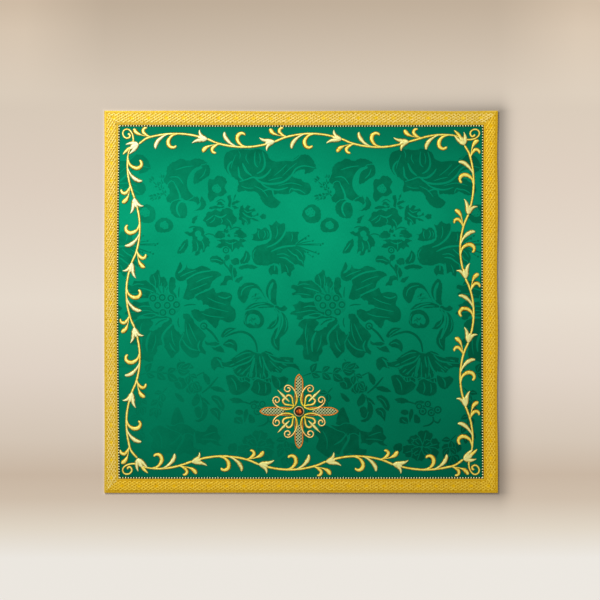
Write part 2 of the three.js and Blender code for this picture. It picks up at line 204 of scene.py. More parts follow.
def great_bloom(x):
    """The great open bloom, its frilled petals all round a heart of ringed stamens."""
    for outline in (
            ((48, 35), (56, 33), (57, 22), (60, 8), (54, 4), (46, 14), (45, 24)),
            ((74, 48), (82, 47), (90, 51), (98, 50), (106, 45), (100, 38), (82, 30), (70, 27), (58, 29),
             (54, 38), (58, 49), (62, 57), (66, 51), (67, 45), (71, 53)),
            ((104, 44), (115, 43), (121, 37), (113, 32), (107, 26), (104, 19), (92, 11), (80, 2), (66, 4),
             (68, 14), (71, 24), (70, 31), (78, 37), (90, 42)),
            ((92, 14), (103, 19), (110, 20), (113, 13), (120, 15), (132, 13), (136, 6), (133, -3),
             (139, -10), (141, -19), (138, -27), (129, -30), (118, -26), (116, -33), (111, -38),
             (104, -32), (97, -26), (88, -29), (78, -20), (78, -10), (90, -2), (82, 6)),
            ((66, -16), (78, -18), (83, -29), (91, -37), (99, -47), (95, -55), (94, -62), (99, -70),
             (97, -75), (91, -72), (87, -78), (78, -79), (68, -72), (60, -58), (61, -46), (66, -40),
             (66, -28)),
            ((50, -28), (58, -40), (67, -44), (62, -56), (62, -68), (57, -74), (50, -80), (43, -70),
             (37, -58), (38, -44)),
            ((18, 30), (20, 38), (26, 41), (30, 46), (34, 43), (35, 36), (40, 36), (44, 30), (46, 22),
             (42, 12), (30, 12), (22, 20)),
            ((-15, 19), (-12, 25), (-6, 24), (-3, 30), (6, 30), (14, 31), (20, 27), (28, 20), (38, 10),
             (30, 2), (16, 4), (2, 4), (-3, 9), (-12, 8), (-13, 13), (-8, 15)),
            ((-13, -4), (-7, -2), (-2, 2), (8, 0), (24, 2), (40, -8), (34, -20), (18, -22), (6, -20),
             (2, -26), (-7, -25), (-7, -20), (-16, -18), (-14, -13), (-9, -11)),
            ((-5, -33), (-2, -27), (5, -23), (20, -22), (34, -18), (50, -22), (51, -32), (42, -42),
             (38, -50), (38, -60), (31, -63), (31, -70), (26, -77), (25, -83), (18, -85), (11, -82),
             (4, -81), (1, -72), (2, -62), (-8, -61), (-7, -54), (-1, -47), (2, -40), (-2, -36))):
        woven_shape(x, outline, 1.0, 1.3, 0.7)
    woven_shape(x, ((19, 10), (28, 13), (32, 22), (40, 20), (46, 12), (55, 6), (63, 0), (62, -12),
        (50, -19), (36, -15), (24, -12), (18, 0)), 0.35, 0.6, 0.3)
    for width, line in (
            (2.2, ((71, 31), (80, 37), (90, 41), (105, 43))),
            (2.2, ((82, 9), (92, 13), (102, 17), (109, 21))),
            (2.0, ((115, 8), (120, 6), (126, 5), (133, 8))),
            (3.4, ((21, -42), (17, -50), (15, -60), (16, -70))),
            (3.0, ((50, -31), (41, -41), (37, -50), (39, -60), (37, -68))),
            (2.2, ((65, -52), (70, -60), (78, -66), (88, -68))), (2.0, ((47, -57), (51, -65), (56, -70))),
            (1.8, ((3, 20), (13, 18), (22, 15), (30, 11))), (1.8, ((3, -8), (11, -6), (23, -7))),
            (1.8, ((2, -22), (12, -18), (24, -16), (34, -20), (44, -18), (52, -21))),
            (1.4, ((-6, 22), (2, 25), (12, 24))), (1.4, ((-8, 11), (2, 11), (14, 9))),
            (1.4, ((-8, -15), (2, -14), (14, -12), (24, -14))), (1.2, ((24, 38), (27, 30), (28, 20))),
            (1.2, ((32, 38), (33, 28), (32, 20))), (1.4, ((8, -30), (6, -44), (8, -58))),
            (1.3, ((28, -46), (27, -58), (22, -70))), (1.2, ((9, -46), (8, -60), (10, -74))),
            (3.0, ((59, 40), (65, 45), (67, 54))), (1.3, ((84, 27), (94, 32), (108, 36))),
            (1.3, ((76, 16), (86, 20), (100, 26))), (1.3, ((100, 6), (112, 0), (126, -4))),
            (1.3, ((98, -6), (112, -10), (130, -14))), (1.3, ((92, -16), (104, -20), (124, -22))),
            (1.4, ((74, -30), (80, -44), (86, -56))), (1.3, ((70, -30), (72, -46), (78, -60))),
            (2.2, ((76, -19), (82, -25), (87, -31), (91, -31), (97, -26))),
            (1.3, ((50, -40), (51, -52), (55, -62))), (2.4, ((90, -54), (87, -62), (90, -70))),
            (1.4, ((62, 35), (72, 40), (84, 44))), (2.4, ((68, -42), (67, -34), (68, -24)))):
        woven_stroke(x, line, width)
    for outline in (
            ((60, 3), (56, 10), (53, 16), (56, 20), (56, 28), (60, 29), (64, 28), (69, 30), (71, 22),
             (68, 15), (65, 8)),
            ((63, -8), (69, -2), (76, 3), (84, 5), (86, 1), (92, 2), (94, -4), (99, -4), (103, -8),
             (98, -10), (92, -13), (84, -10), (76, -12), (67, -12)),
            ((60, -17), (56, -23), (51, -28), (56, -31), (54, -37), (60, -41), (63, -46), (67, -41),
             (66, -34), (68, -28), (64, -20)),
            ((46, -23), (36, -23), (22, -25), (25, -30), (19, -39), (26, -40), (32, -36), (36, -34),
             (38, -30), (46, -26))):
        woven_shape(x, outline, 0.0, 0.5, 0.9)
    for line in (
            ((60, 6), (60, 14), (61, 21)), ((67, -6), (74, -4), (84, -4)),
            ((60, -22), (59, -29), (61, -36)), ((44, -24), (34, -27), (27, -33))):
        woven_stroke(x, line, 2.0, 0.9)
    for i in range(9):
        a = math.radians(64 + 16 * i)
        filament = [(38 + out * math.cos(a + sway), 6 + up * math.sin(a + sway))
                    for out, up, sway in ((6, 6, 0), (13, 14, 0.1), (19, 21, 0))]
        woven_stroke(x, filament, 1.6, 0.1 + 0.7 * (i % 2))
    for cx, cy in ((24, 5), (37, 6), (30.5, -5), (44, -5), (57, -4), (49, 5), (38, -15), (51, -14)):
        woven_ring(x + cx, cy, 5.0, 2.2, 0.1, 1.0)
        woven_ring(x + cx, cy, 1.6, 0.8, 1.0, 0.7)
    woven_ring(x + 95, -34, 5.2, 1.8, 0.9)


def curling_iris(x):
    """Long petals that curl back over each other, with a round seed head."""
    for outline in (
            ((-42, -5), (-47, 2), (-52, 12), (-57, 21), (-63, 26), (-70, 28), (-79, 27), (-86, 23),
             (-90, 14), (-89, 6), (-84, -1), (-79, -3), (-75, 2), (-72, 10), (-69, 17), (-63, 18),
             (-57, 14), (-52, 6), (-48, 0)),
            ((-38, -5), (-46, 3), (-50, 12), (-49, 22), (-44, 30), (-40, 33), (-36, 31), (-33, 24),
             (-33, 14), (-34, 4), (-33, -5)),
            ((-37, -5), (-48, 0), (-58, 0), (-66, -1), (-73, -4), (-80, -12), (-72, -11), (-64, -9),
             (-56, -10), (-46, -9), (-38, -9)),
            ((-35, -4), (-28, -7), (-24, -4), (-18, -9), (-23, -14), (-31, -13), (-38, -9)),
            ((-37, -8), (-30, -12), (-23, -16), (-19, -23), (-17, -31), (-18, -40), (-23, -47),
             (-28, -51), (-29, -58), (-30, -69), (-36, -67), (-42, -60), (-43, -52), (-40, -44),
             (-37, -38), (-33, -35), (-30, -29), (-29, -22), (-32, -16)),
            ((-38, -10), (-32, -16), (-30, -24), (-33, -32), (-40, -39), (-49, -38), (-46, -34),
             (-42, -28), (-36, -24), (-34, -18)),
            ((-80, -20), (-77, -13), (-68, -10), (-59, -12), (-52, -20), (-51, -30), (-57, -37),
             (-66, -38), (-74, -37), (-81, -30))):
        woven_shape(x, outline, 1.0, 1.2, 0.5)
    woven_shape(x, ((-74, -20), (-68, -17), (-61, -19), (-57, -26), (-60, -32), (-64, -29), (-66, -33),
        (-71, -30), (-76, -30)), 0.05, 0.4, 0.6)
    woven_stroke(x, ((-70, -22), (-66, -25), (-64, -22)), 2.4, 0.8)
    woven_stroke(x, ((-73, -27), (-70, -25), (-68, -29)), 2.0, 0.7)
    for width, shade, line in (
            (4.6, 0.1, ((-43, 2), (-44, 12), (-42, 21), (-39, 27))),
            (1.4, 0.8, ((-42, 4), (-42, 12), (-41, 19))),
            (5.0, 0.1, ((-30, -13), (-27, -22), (-28, -32), (-32, -42), (-36, -52))),
            (1.4, 0.8, ((-28, -20), (-28, -30), (-31, -40))), (2.0, 0.1, ((-73, -9), (-63, -4), (-50, -2))),
            (2.0, 0.1, ((-66, -9), (-56, -6), (-44, -6))),
            (1.6, 0.1, ((-84, 8), (-82, 16), (-76, 21), (-66, 23))),
            (2.2, 0.1, ((-85, 21), (-82, 25), (-77, 29))), (1.4, 0.1, ((-22, -22), (-20, -32), (-23, -42))),
            (1.4, 0.1, ((-38, -50), (-37, -58), (-33, -64))),
            (1.3, 0.1, ((-34, -22), (-36, -30), (-42, -35))),
            (1.3, 0.1, ((-76, -17), (-79, -24), (-77, -32)))):
        woven_stroke(x, line, width, shade)
    for cx, cy, heading, length in (
            (-58, 12, 200, 14), (-56, 8, 215, 12), (-53, 5, 176, 16), (-62, 13, 240, 8)):
        small_leaf(x + cx, cy, heading, length, 4, 20)


def drooping_bell(x):
    """A wide bell hung from an arching stem, its skirt pleated over a second frill."""
    woven_stroke(x, ((-108, -50), (-100, -46), (-91, -43), (-82, -42), (-72, -46), (-65, -54), (-62, -63),
        (-61, -76)), 3.4, 1.0)
    woven_stroke(x, ((-136, -34), (-124, -44), (-114, -58)), 3.2, 1.0)
    for outline in (
            ((-106, -104), (-97, -101), (-90, -104), (-84, -111), (-76, -110), (-69, -118), (-77, -126),
             (-87, -131), (-98, -129), (-103, -118)),
            ((-68, -112), (-60, -107), (-50, -111), (-42, -114), (-41, -126), (-48, -132), (-60, -131),
             (-71, -124)),
            ((-42, -102), (-32, -105), (-24, -103), (-17, -108), (-22, -117), (-30, -123), (-39, -118)),
            ((-113, -48), (-109, -40), (-101, -35), (-90, -37), (-97, -42), (-104, -47), (-109, -51)),
            ((-110, -60), (-105, -54), (-98, -51), (-91, -55), (-88, -62), (-90, -71), (-96, -66),
             (-104, -64)),
            ((-113, -58), (-120, -55), (-130, -56), (-135, -52), (-134, -60), (-126, -62), (-118, -62)),
            ((-112, -61), (-120, -63), (-127, -62), (-122, -68), (-114, -71), (-106, -71)),
            ((-127, -84), (-124, -78), (-117, -76), (-110, -80), (-106, -88), (-108, -94), (-116, -92),
             (-121, -97), (-126, -92)),
            ((-64, -70), (-74, -66), (-83, -69), (-91, -74), (-99, -80), (-106, -84), (-113, -82),
             (-111, -90), (-104, -92), (-97, -93), (-95, -98), (-91, -103), (-84, -106), (-76, -105),
             (-70, -108), (-62, -106), (-54, -109), (-46, -106), (-43, -100), (-36, -99), (-28, -100),
             (-24, -95), (-16, -92), (-8, -94), (-1, -98), (-3, -90), (-10, -84), (-10, -78), (-22, -76),
             (-34, -76), (-42, -70), (-50, -68), (-57, -71))):
        woven_shape(x, outline, 1.0, 1.2, 0.7)
    for width, line in (
            (2.6, ((-65, -74), (-72, -83), (-84, -88), (-99, -93))),
            (4.6, ((-65, -78), (-68, -90), (-72, -105))), (2.2, ((-58, -76), (-57, -84), (-55, -92))),
            (2.8, ((-54, -76), (-51, -86), (-46, -96), (-38, -102))),
            (2.4, ((-46, -74), (-38, -82), (-24, -85), (-8, -86))),
            (1.8, ((-70, -71), (-80, -72), (-92, -78))), (1.6, ((-70, -76), (-80, -80), (-92, -86))),
            (1.6, ((-70, -88), (-78, -96), (-86, -102))), (1.5, ((-63, -84), (-63, -96), (-62, -104))),
            (1.5, ((-53, -86), (-52, -96), (-54, -106))), (1.5, ((-44, -82), (-36, -90), (-28, -96))),
            (1.5, ((-50, -71), (-40, -75), (-28, -79))), (2.4, ((-118, -79), (-113, -84), (-110, -92))),
            (1.5, ((-108, -46), (-103, -41), (-96, -38))), (1.6, ((-106, -59), (-100, -57), (-94, -60))),
            (1.8, ((-98, -106), (-92, -114), (-90, -124))), (1.8, ((-60, -112), (-58, -120), (-60, -128))),
            (1.6, ((-50, -114), (-49, -122), (-50, -128))), (1.8, ((-34, -106), (-30, -112), (-30, -120))),
            (3.0, ((-72, -106), (-68, -112), (-72, -122), (-80, -130)))):
        woven_stroke(x, line, width)
    for i in range(16):
        a = math.radians(196 + 9.9 * i)
        reach = 38 - 7 * math.sin(math.pi * i / 15)
        dash = [(-60 + far * math.cos(a), -72 + far * 0.9 * math.sin(a)) for far in (reach, reach + 8)]
        woven_stroke(x, dash, 2.0)


def fan_flower(x):
    """A half-open flower, its scalloped fan in one dark mass and berried stamens on the right."""
    for outline in (
            ((-69, 60), (-69, 70), (-65, 77), (-58, 80), (-50, 82), (-44, 86), (-42, 92), (-43, 100),
             (-46, 109), (-41, 108), (-35, 114), (-30, 110), (-22, 110), (-21, 101), (-18, 99), (-10, 99),
             (-2, 98), (-4, 91), (-3, 85), (-7, 80), (-1, 77), (4, 71), (7, 62), (5, 55), (4, 48),
             (-3, 51), (-9, 51), (-8, 45), (-12, 43), (-14, 35), (-19, 36), (-22, 41), (-28, 38),
             (-30, 45), (-32, 51), (-38, 53), (-46, 50), (-55, 50), (-64, 52)),
            ((-46, 46), (-42, 51), (-36, 52), (-32, 48), (-31, 42), (-32, 37), (-38, 38), (-42, 36),
             (-46, 41)),
            ((-69, 86), (-67, 92), (-70, 94), (-63, 97), (-62, 104), (-56, 102), (-51, 105), (-45, 101),
             (-43, 94), (-44, 88), (-51, 85), (-60, 84)),
            ((-88, 48), (-84, 44), (-76, 46), (-66, 45), (-60, 48), (-66, 52), (-76, 53), (-84, 51)),
            ((-84, 52), (-86, 58), (-81, 65), (-78, 72), (-73, 70), (-70, 62), (-74, 54))):
        woven_shape(x, outline, 1.0, 1.2, 0.9)
    for width, line in (
            (2.8, ((-48, 76), (-38, 80), (-30, 86), (-24, 94), (-21, 102), (-21, 111))),
            (2.8, ((-42, 70), (-34, 74), (-24, 77), (-14, 78), (-4, 79))),
            (2.2, ((-31, 62), (-22, 61), (-15, 56), (-8, 51))),
            (2.0, ((-19, 74), (-14, 69), (-10, 66), (-6, 64), (-3, 59), (1, 57), (3, 52))),
            (2.4, ((-30, 54), (-29, 46), (-28, 38))), (1.8, ((-37, 53), (-37, 48), (-37, 43))),
            (1.3, ((-53, 88), (-50, 94), (-52, 100))), (1.3, ((-58, 88), (-60, 94), (-59, 100))),
            (1.2, ((-47, 90), (-46, 95), (-48, 99))), (1.2, ((-66, 60), (-67, 67), (-63, 74))),
            (1.2, ((-36, 88), (-33, 96), (-34, 106))), (1.2, ((-14, 84), (-12, 90), (-13, 96))),
            (1.3, ((-22, 52), (-19, 46), (-18, 40))), (1.2, ((-8, 74), (-1, 69), (3, 62))),
            (1.4, ((-34, 66), (-24, 67), (-16, 63))), (1.6, ((-80, 56), (-77, 62), (-76, 68)))):
        woven_stroke(x, line, width)
    for ax, ay in ((6, 88), (16, 85), (27, 79), (20, 69), (16, 63), (24, 67), (10, 92), (30, 81), (9, 69)):
        woven_stroke(x, ((-8, 79), (0.4 * ax - 4, 0.5 * ay + 40), (ax, ay)), 1.3, 1.0)
        small_leaf(x + ax - 2, ay - 1, 20, 5.5, 4, 30)


def flowing_lily(x):
    """A lily seen from the side in one dark mass, its petals parted by thin bright lines."""
    woven_shape(x, (
        (-109, 198), (-108, 188), (-104, 180), (-98, 175), (-92, 171), (-88, 166), (-90, 158), (-88, 152),
        (-80, 154), (-72, 153), (-64, 153), (-59, 148), (-56, 141), (-50, 134), (-42, 130), (-34, 131),
        (-28, 139), (-33, 144), (-38, 148), (-32, 150), (-22, 149), (-16, 150), (-10, 153), (-4, 150),
        (2, 148), (10, 149), (15, 156), (12, 166), (5, 168), (0, 172), (-8, 174), (-11, 176), (-5, 182),
        (4, 184), (4, 178), (14, 180), (19, 184), (22, 187), (19, 196), (14, 203), (6, 207), (-4, 205),
        (-12, 200), (-24, 199), (-34, 197), (-43, 200), (-46, 207), (-52, 212), (-62, 215), (-72, 213),
        (-84, 214), (-96, 213), (-106, 208)), 1.0, 1.3, 1.0)
    for width, line in (
            (3.0, ((-96, 197), (-101, 191), (-102, 184), (-97, 175))),
            (2.8, ((-88, 189), (-87, 181), (-86, 175), (-81, 170))),
            (3.4, ((-82, 194), (-79, 187), (-76, 182), (-69, 176))),
            (1.4, ((-76, 206), (-77, 200), (-73, 193))),
            (2.0, ((-64, 210), (-65, 200), (-64, 192), (-60, 188))),
            (3.0, ((-54, 210), (-51, 199), (-51, 190), (-55, 183), (-62, 179))),
            (3.0, ((-42, 186), (-46, 180), (-52, 175), (-58, 173), (-66, 174))),
            (3.0, ((-86, 168), (-76, 171), (-66, 174), (-58, 168), (-48, 165), (-36, 165), (-24, 168),
              (-14, 176), (-7, 186), (4, 190), (20, 187))),
            (1.4, ((-46, 169), (-36, 172), (-26, 174))),
            (2.4, ((-58, 168), (-50, 161), (-38, 157), (-28, 157), (-18, 160))),
            (2.4, ((-54, 154), (-46, 157), (-40, 156), (-38, 149), (-29, 146))),
            (2.0, ((-17, 152), (-14, 158), (-9, 157), (-2, 156), (6, 151))),
            (2.2, ((-36, 196), (-22, 198), (-10, 198), (0, 206))),
            (1.3, ((-38, 176), (-28, 184), (-20, 192))), (1.2, ((-26, 176), (-16, 186), (-6, 194))),
            (1.3, ((-66, 162), (-54, 156), (-46, 146))), (1.2, ((-84, 162), (-76, 159), (-66, 159))),
            (1.2, ((-58, 192), (-57, 200), (-59, 208))), (1.2, ((-98, 186), (-96, 194), (-91, 206))),
            (1.3, ((-32, 162), (-14, 166), (2, 162))), (1.2, ((-86, 200), (-85, 206), (-88, 212)))):
        woven_stroke(x, line, width)


def horned_leaf(x):
    """A dark folded leaf with a bright horn curling through it."""
    for outline in (
            ((-193, 170), (-189, 178), (-188, 187), (-183, 194), (-176, 197), (-168, 201), (-158, 198),
             (-148, 201), (-136, 199), (-130, 192), (-140, 186), (-150, 179), (-157, 170), (-157, 160),
             (-153, 152), (-145, 146), (-150, 140), (-162, 141), (-170, 147), (-175, 156), (-181, 162),
             (-189, 164)),
            ((-189, 146), (-184, 154), (-187, 161), (-184, 168), (-178, 168), (-173, 158), (-170, 149),
             (-171, 139), (-177, 131), (-185, 128), (-182, 136), (-188, 140)),
            ((-150, 164), (-144, 165), (-137, 170), (-128, 176), (-126, 184), (-129, 192), (-137, 192),
             (-144, 187), (-149, 180), (-151, 171)),
            ((-184, 128), (-182, 138), (-174, 143), (-166, 142), (-160, 136), (-158, 126), (-161, 117),
             (-170, 116), (-178, 119)),
            ((-158, 142), (-150, 147), (-146, 150), (-142, 144), (-141, 138), (-145, 135), (-149, 139),
             (-156, 140)),
            ((-139, 148), (-135, 144), (-132, 137), (-134, 131), (-140, 127), (-150, 127), (-144, 131),
             (-141, 136), (-142, 142))):
        woven_shape(x, outline, 1.0, 1.2, 1.0)
    for width, line in (
            (6.5, ((-138, 188), (-148, 184), (-155, 173), (-156, 162), (-152, 153), (-146, 147))),
            (2.8, ((-160, 138), (-168, 140), (-173, 134), (-173, 126), (-169, 119))),
            (2.4, ((-176, 164), (-172, 156), (-168, 146))), (3.2, ((-134, 152), (-129, 142), (-128, 131))),
            (1.5, ((-176, 184), (-164, 188), (-150, 190))), (1.5, ((-184, 174), (-172, 174), (-164, 164))),
            (1.4, ((-142, 172), (-136, 178), (-133, 186)))):
        woven_stroke(x, line, width, 0.0)


def round_fruit(x, outline, heart):
    """A cut fruit whose ragged heart shows in a bright hollow."""
    woven_shape(x, outline, 1.0, 1.0, 0.9)
    cx, cy, reach = heart
    hollow = []
    for k in range(9):
        across, along = 1.0 + 0.16 * math.sin(5 * k), 0.95 + 0.16 * math.sin(4 * k)
        hollow.append((cx + reach * across * math.cos(k * 0.7), cy + reach * along * math.sin(k * 0.7)))
    woven_shape(x, hollow, 0.2, 0.4, 0.8)
    for k in range(6):
        place = (x + cx + reach * 0.3 * math.cos(k * 1.05), cy + reach * 0.3 * math.sin(k * 1.05))
        small_leaf(*place, 60 * k + 15, reach * 0.74, reach * 0.42, 30, 0.9)


def tufted_flowers(x):
    """Two small tufted flowers with bright crescents, and the cut leaves and berries round them."""
    for outline in (
            ((-174, 68), (-172, 74), (-168, 80), (-165, 85), (-158, 88), (-157, 80), (-160, 73),
             (-164, 68), (-170, 67)),
            ((-164, 97), (-158, 99), (-153, 97), (-151, 103), (-146, 106), (-139, 105), (-135, 100),
             (-134, 93), (-130, 90), (-127, 84), (-128, 77), (-132, 76), (-134, 70), (-138, 68),
             (-139, 74), (-142, 66), (-149, 64), (-148, 71), (-153, 67), (-152, 76), (-153, 84),
             (-152, 90), (-157, 92)),
            ((-119, 76), (-116, 81), (-112, 83), (-118, 86), (-110, 88), (-102, 87), (-92, 88), (-87, 86),
             (-84, 90), (-78, 87), (-76, 84), (-82, 82), (-79, 76), (-85, 76), (-88, 72), (-91, 75),
             (-96, 69), (-100, 74), (-106, 77), (-112, 75)),
            ((-94, 91), (-93, 98), (-86, 102), (-80, 98), (-75, 92), (-82, 88), (-88, 90)),
            ((-122, 90), (-119, 97), (-113, 100), (-107, 97), (-106, 91), (-112, 88)),
            ((-109, 97), (-106, 103), (-101, 101), (-102, 96)),
            ((-104, 93), (-101, 95), (-98, 92), (-101, 90)),
            ((-138, 114), (-134, 119), (-131, 126), (-124, 127), (-120, 131), (-114, 127), (-109, 130),
             (-103, 132), (-96, 129), (-94, 122), (-89, 117), (-91, 110), (-95, 107), (-98, 101),
             (-101, 105), (-104, 100), (-106, 106), (-112, 107), (-120, 104), (-131, 105), (-134, 110)),
            ((-118, 137), (-114, 141), (-109, 138), (-106, 132), (-110, 130), (-113, 135), (-117, 134)),
            ((-129, 132), (-120, 135), (-112, 133), (-106, 136), (-108, 131), (-116, 130), (-127, 129)),
            ((-104, 147), (-99, 150), (-97, 143), (-97, 136), (-99, 131), (-103, 134), (-102, 140)),
            ((-94, 148), (-90, 153), (-91, 146), (-95, 141)),
            ((-97, 139), (-90, 142), (-84, 140), (-90, 137), (-96, 134)),
            ((-97, 134), (-92, 135), (-87, 131), (-93, 129)),
            ((-87, 120), (-87, 127), (-85, 133), (-81, 136), (-79, 131), (-76, 135), (-70, 134),
             (-72, 129), (-66, 131), (-63, 127), (-69, 124), (-66, 121), (-60, 125), (-59, 121),
             (-64, 119), (-68, 118), (-62, 116), (-58, 112), (-66, 113), (-70, 115), (-70, 110),
             (-75, 107), (-78, 112), (-79, 106), (-83, 108), (-84, 113), (-87, 115)),
            ((-58, 119), (-55, 123), (-50, 123), (-48, 119), (-51, 115), (-56, 116)),
            ((-153, 110), (-152, 117), (-148, 120), (-143, 121), (-146, 114), (-149, 109)),
            ((-128, 59), (-125, 64), (-118, 65), (-112, 62), (-107, 56), (-111, 51), (-118, 54),
             (-125, 55)),
            ((-108, 62), (-104, 67), (-99, 64), (-101, 58), (-105, 57)),
            ((-99, 57), (-92, 62), (-86, 59), (-86, 53), (-94, 51)),
            ((-101, 51), (-97, 53), (-94, 46), (-96, 39), (-100, 43)),
            ((-84, 55), (-81, 64), (-76, 72), (-72, 64), (-72, 57), (-77, 52)),
            ((-87, 46), (-82, 51), (-74, 53), (-66, 52), (-60, 47), (-70, 44), (-78, 47)),
            ((-114, 23), (-109, 30), (-107, 36), (-99, 37), (-95, 31), (-102, 29), (-104, 23)),
            ((-95, 49), (-91, 46), (-89, 38), (-93, 33), (-96, 40)),
            ((-93, 29), (-88, 34), (-80, 36), (-83, 30), (-88, 26))):
        woven_shape(x, outline, 1.0, 1.0, 1.1)
    woven_ring(x - 105, 72, 4.6, 1.7, 0.9)
    for width, shade, line in (
            (1.6, 0.1, ((-146, 84), (-144, 76), (-146, 70))),
            (1.6, 0.1, ((-139, 86), (-136, 79), (-136, 72))),
            (1.6, 0.1, ((-162, 82), (-166, 76), (-170, 71))),
            (1.6, 0.1, ((-106, 84), (-98, 81), (-90, 84))), (1.4, 0.1, ((-96, 84), (-96, 78), (-96, 73))),
            (1.4, 0.1, ((-88, 93), (-92, 94), (-94, 95))),
            (2.2, 0.1, ((-121, 121), (-112, 118), (-104, 122))),
            (1.3, 0.1, ((-128, 110), (-122, 114), (-120, 119))),
            (1.3, 0.1, ((-112, 109), (-110, 113), (-112, 117))),
            (1.6, 0.1, ((-133, 113), (-127, 117), (-122, 121))),
            (1.5, 0.1, ((-104, 116), (-99, 111), (-97, 104))),
            (2.2, 0.1, ((-82, 125), (-76, 120), (-68, 117))),
            (1.5, 0.1, ((-83, 118), (-77, 114), (-74, 109))),
            (1.5, 0.1, ((-80, 129), (-75, 125), (-68, 127))),
            (1.4, 0.1, ((-126, 59), (-118, 59), (-110, 56))), (1.4, 0.1, ((-80, 56), (-77, 62), (-76, 68))),
            (1.4, 0.1, ((-82, 48), (-74, 50), (-66, 48))),
            (1.8, 0.9, ((-135, 93), (-129, 95), (-122, 93), (-119, 90))),
            (2.0, 0.9, ((-100, 100), (-92, 104), (-83, 102))),
            (2.2, 0.9, ((-157, 103), (-152, 105), (-146, 105))),
            (2.4, 0.9, ((-103, 66), (-107, 54), (-101, 46), (-97, 38), (-96, 29))),
            (1.8, 0.9, ((-119, 139), (-112, 143), (-106, 139)))):
        woven_stroke(x, line, width, shade)
    for cx, cy, reach in ((-144, 95, 4.6), (-141, 89, 4)):
        eye = [(cx + reach * math.cos(k), cy + reach * math.sin(k)) for k in (0, 1.3, 2.6, 3.8, 5.0)]
        woven_shape(x, eye, 0.0, 0.4, 0.3)
    for line, size in (
            (((48, 140), (36, 156), (24, 168)), 7), (((40, 150), (36, 160), (36, 172)), 6),
            (((38, 150), (32, 148), (26, 146)), 7)):
        leafed_twig(x, line, size)


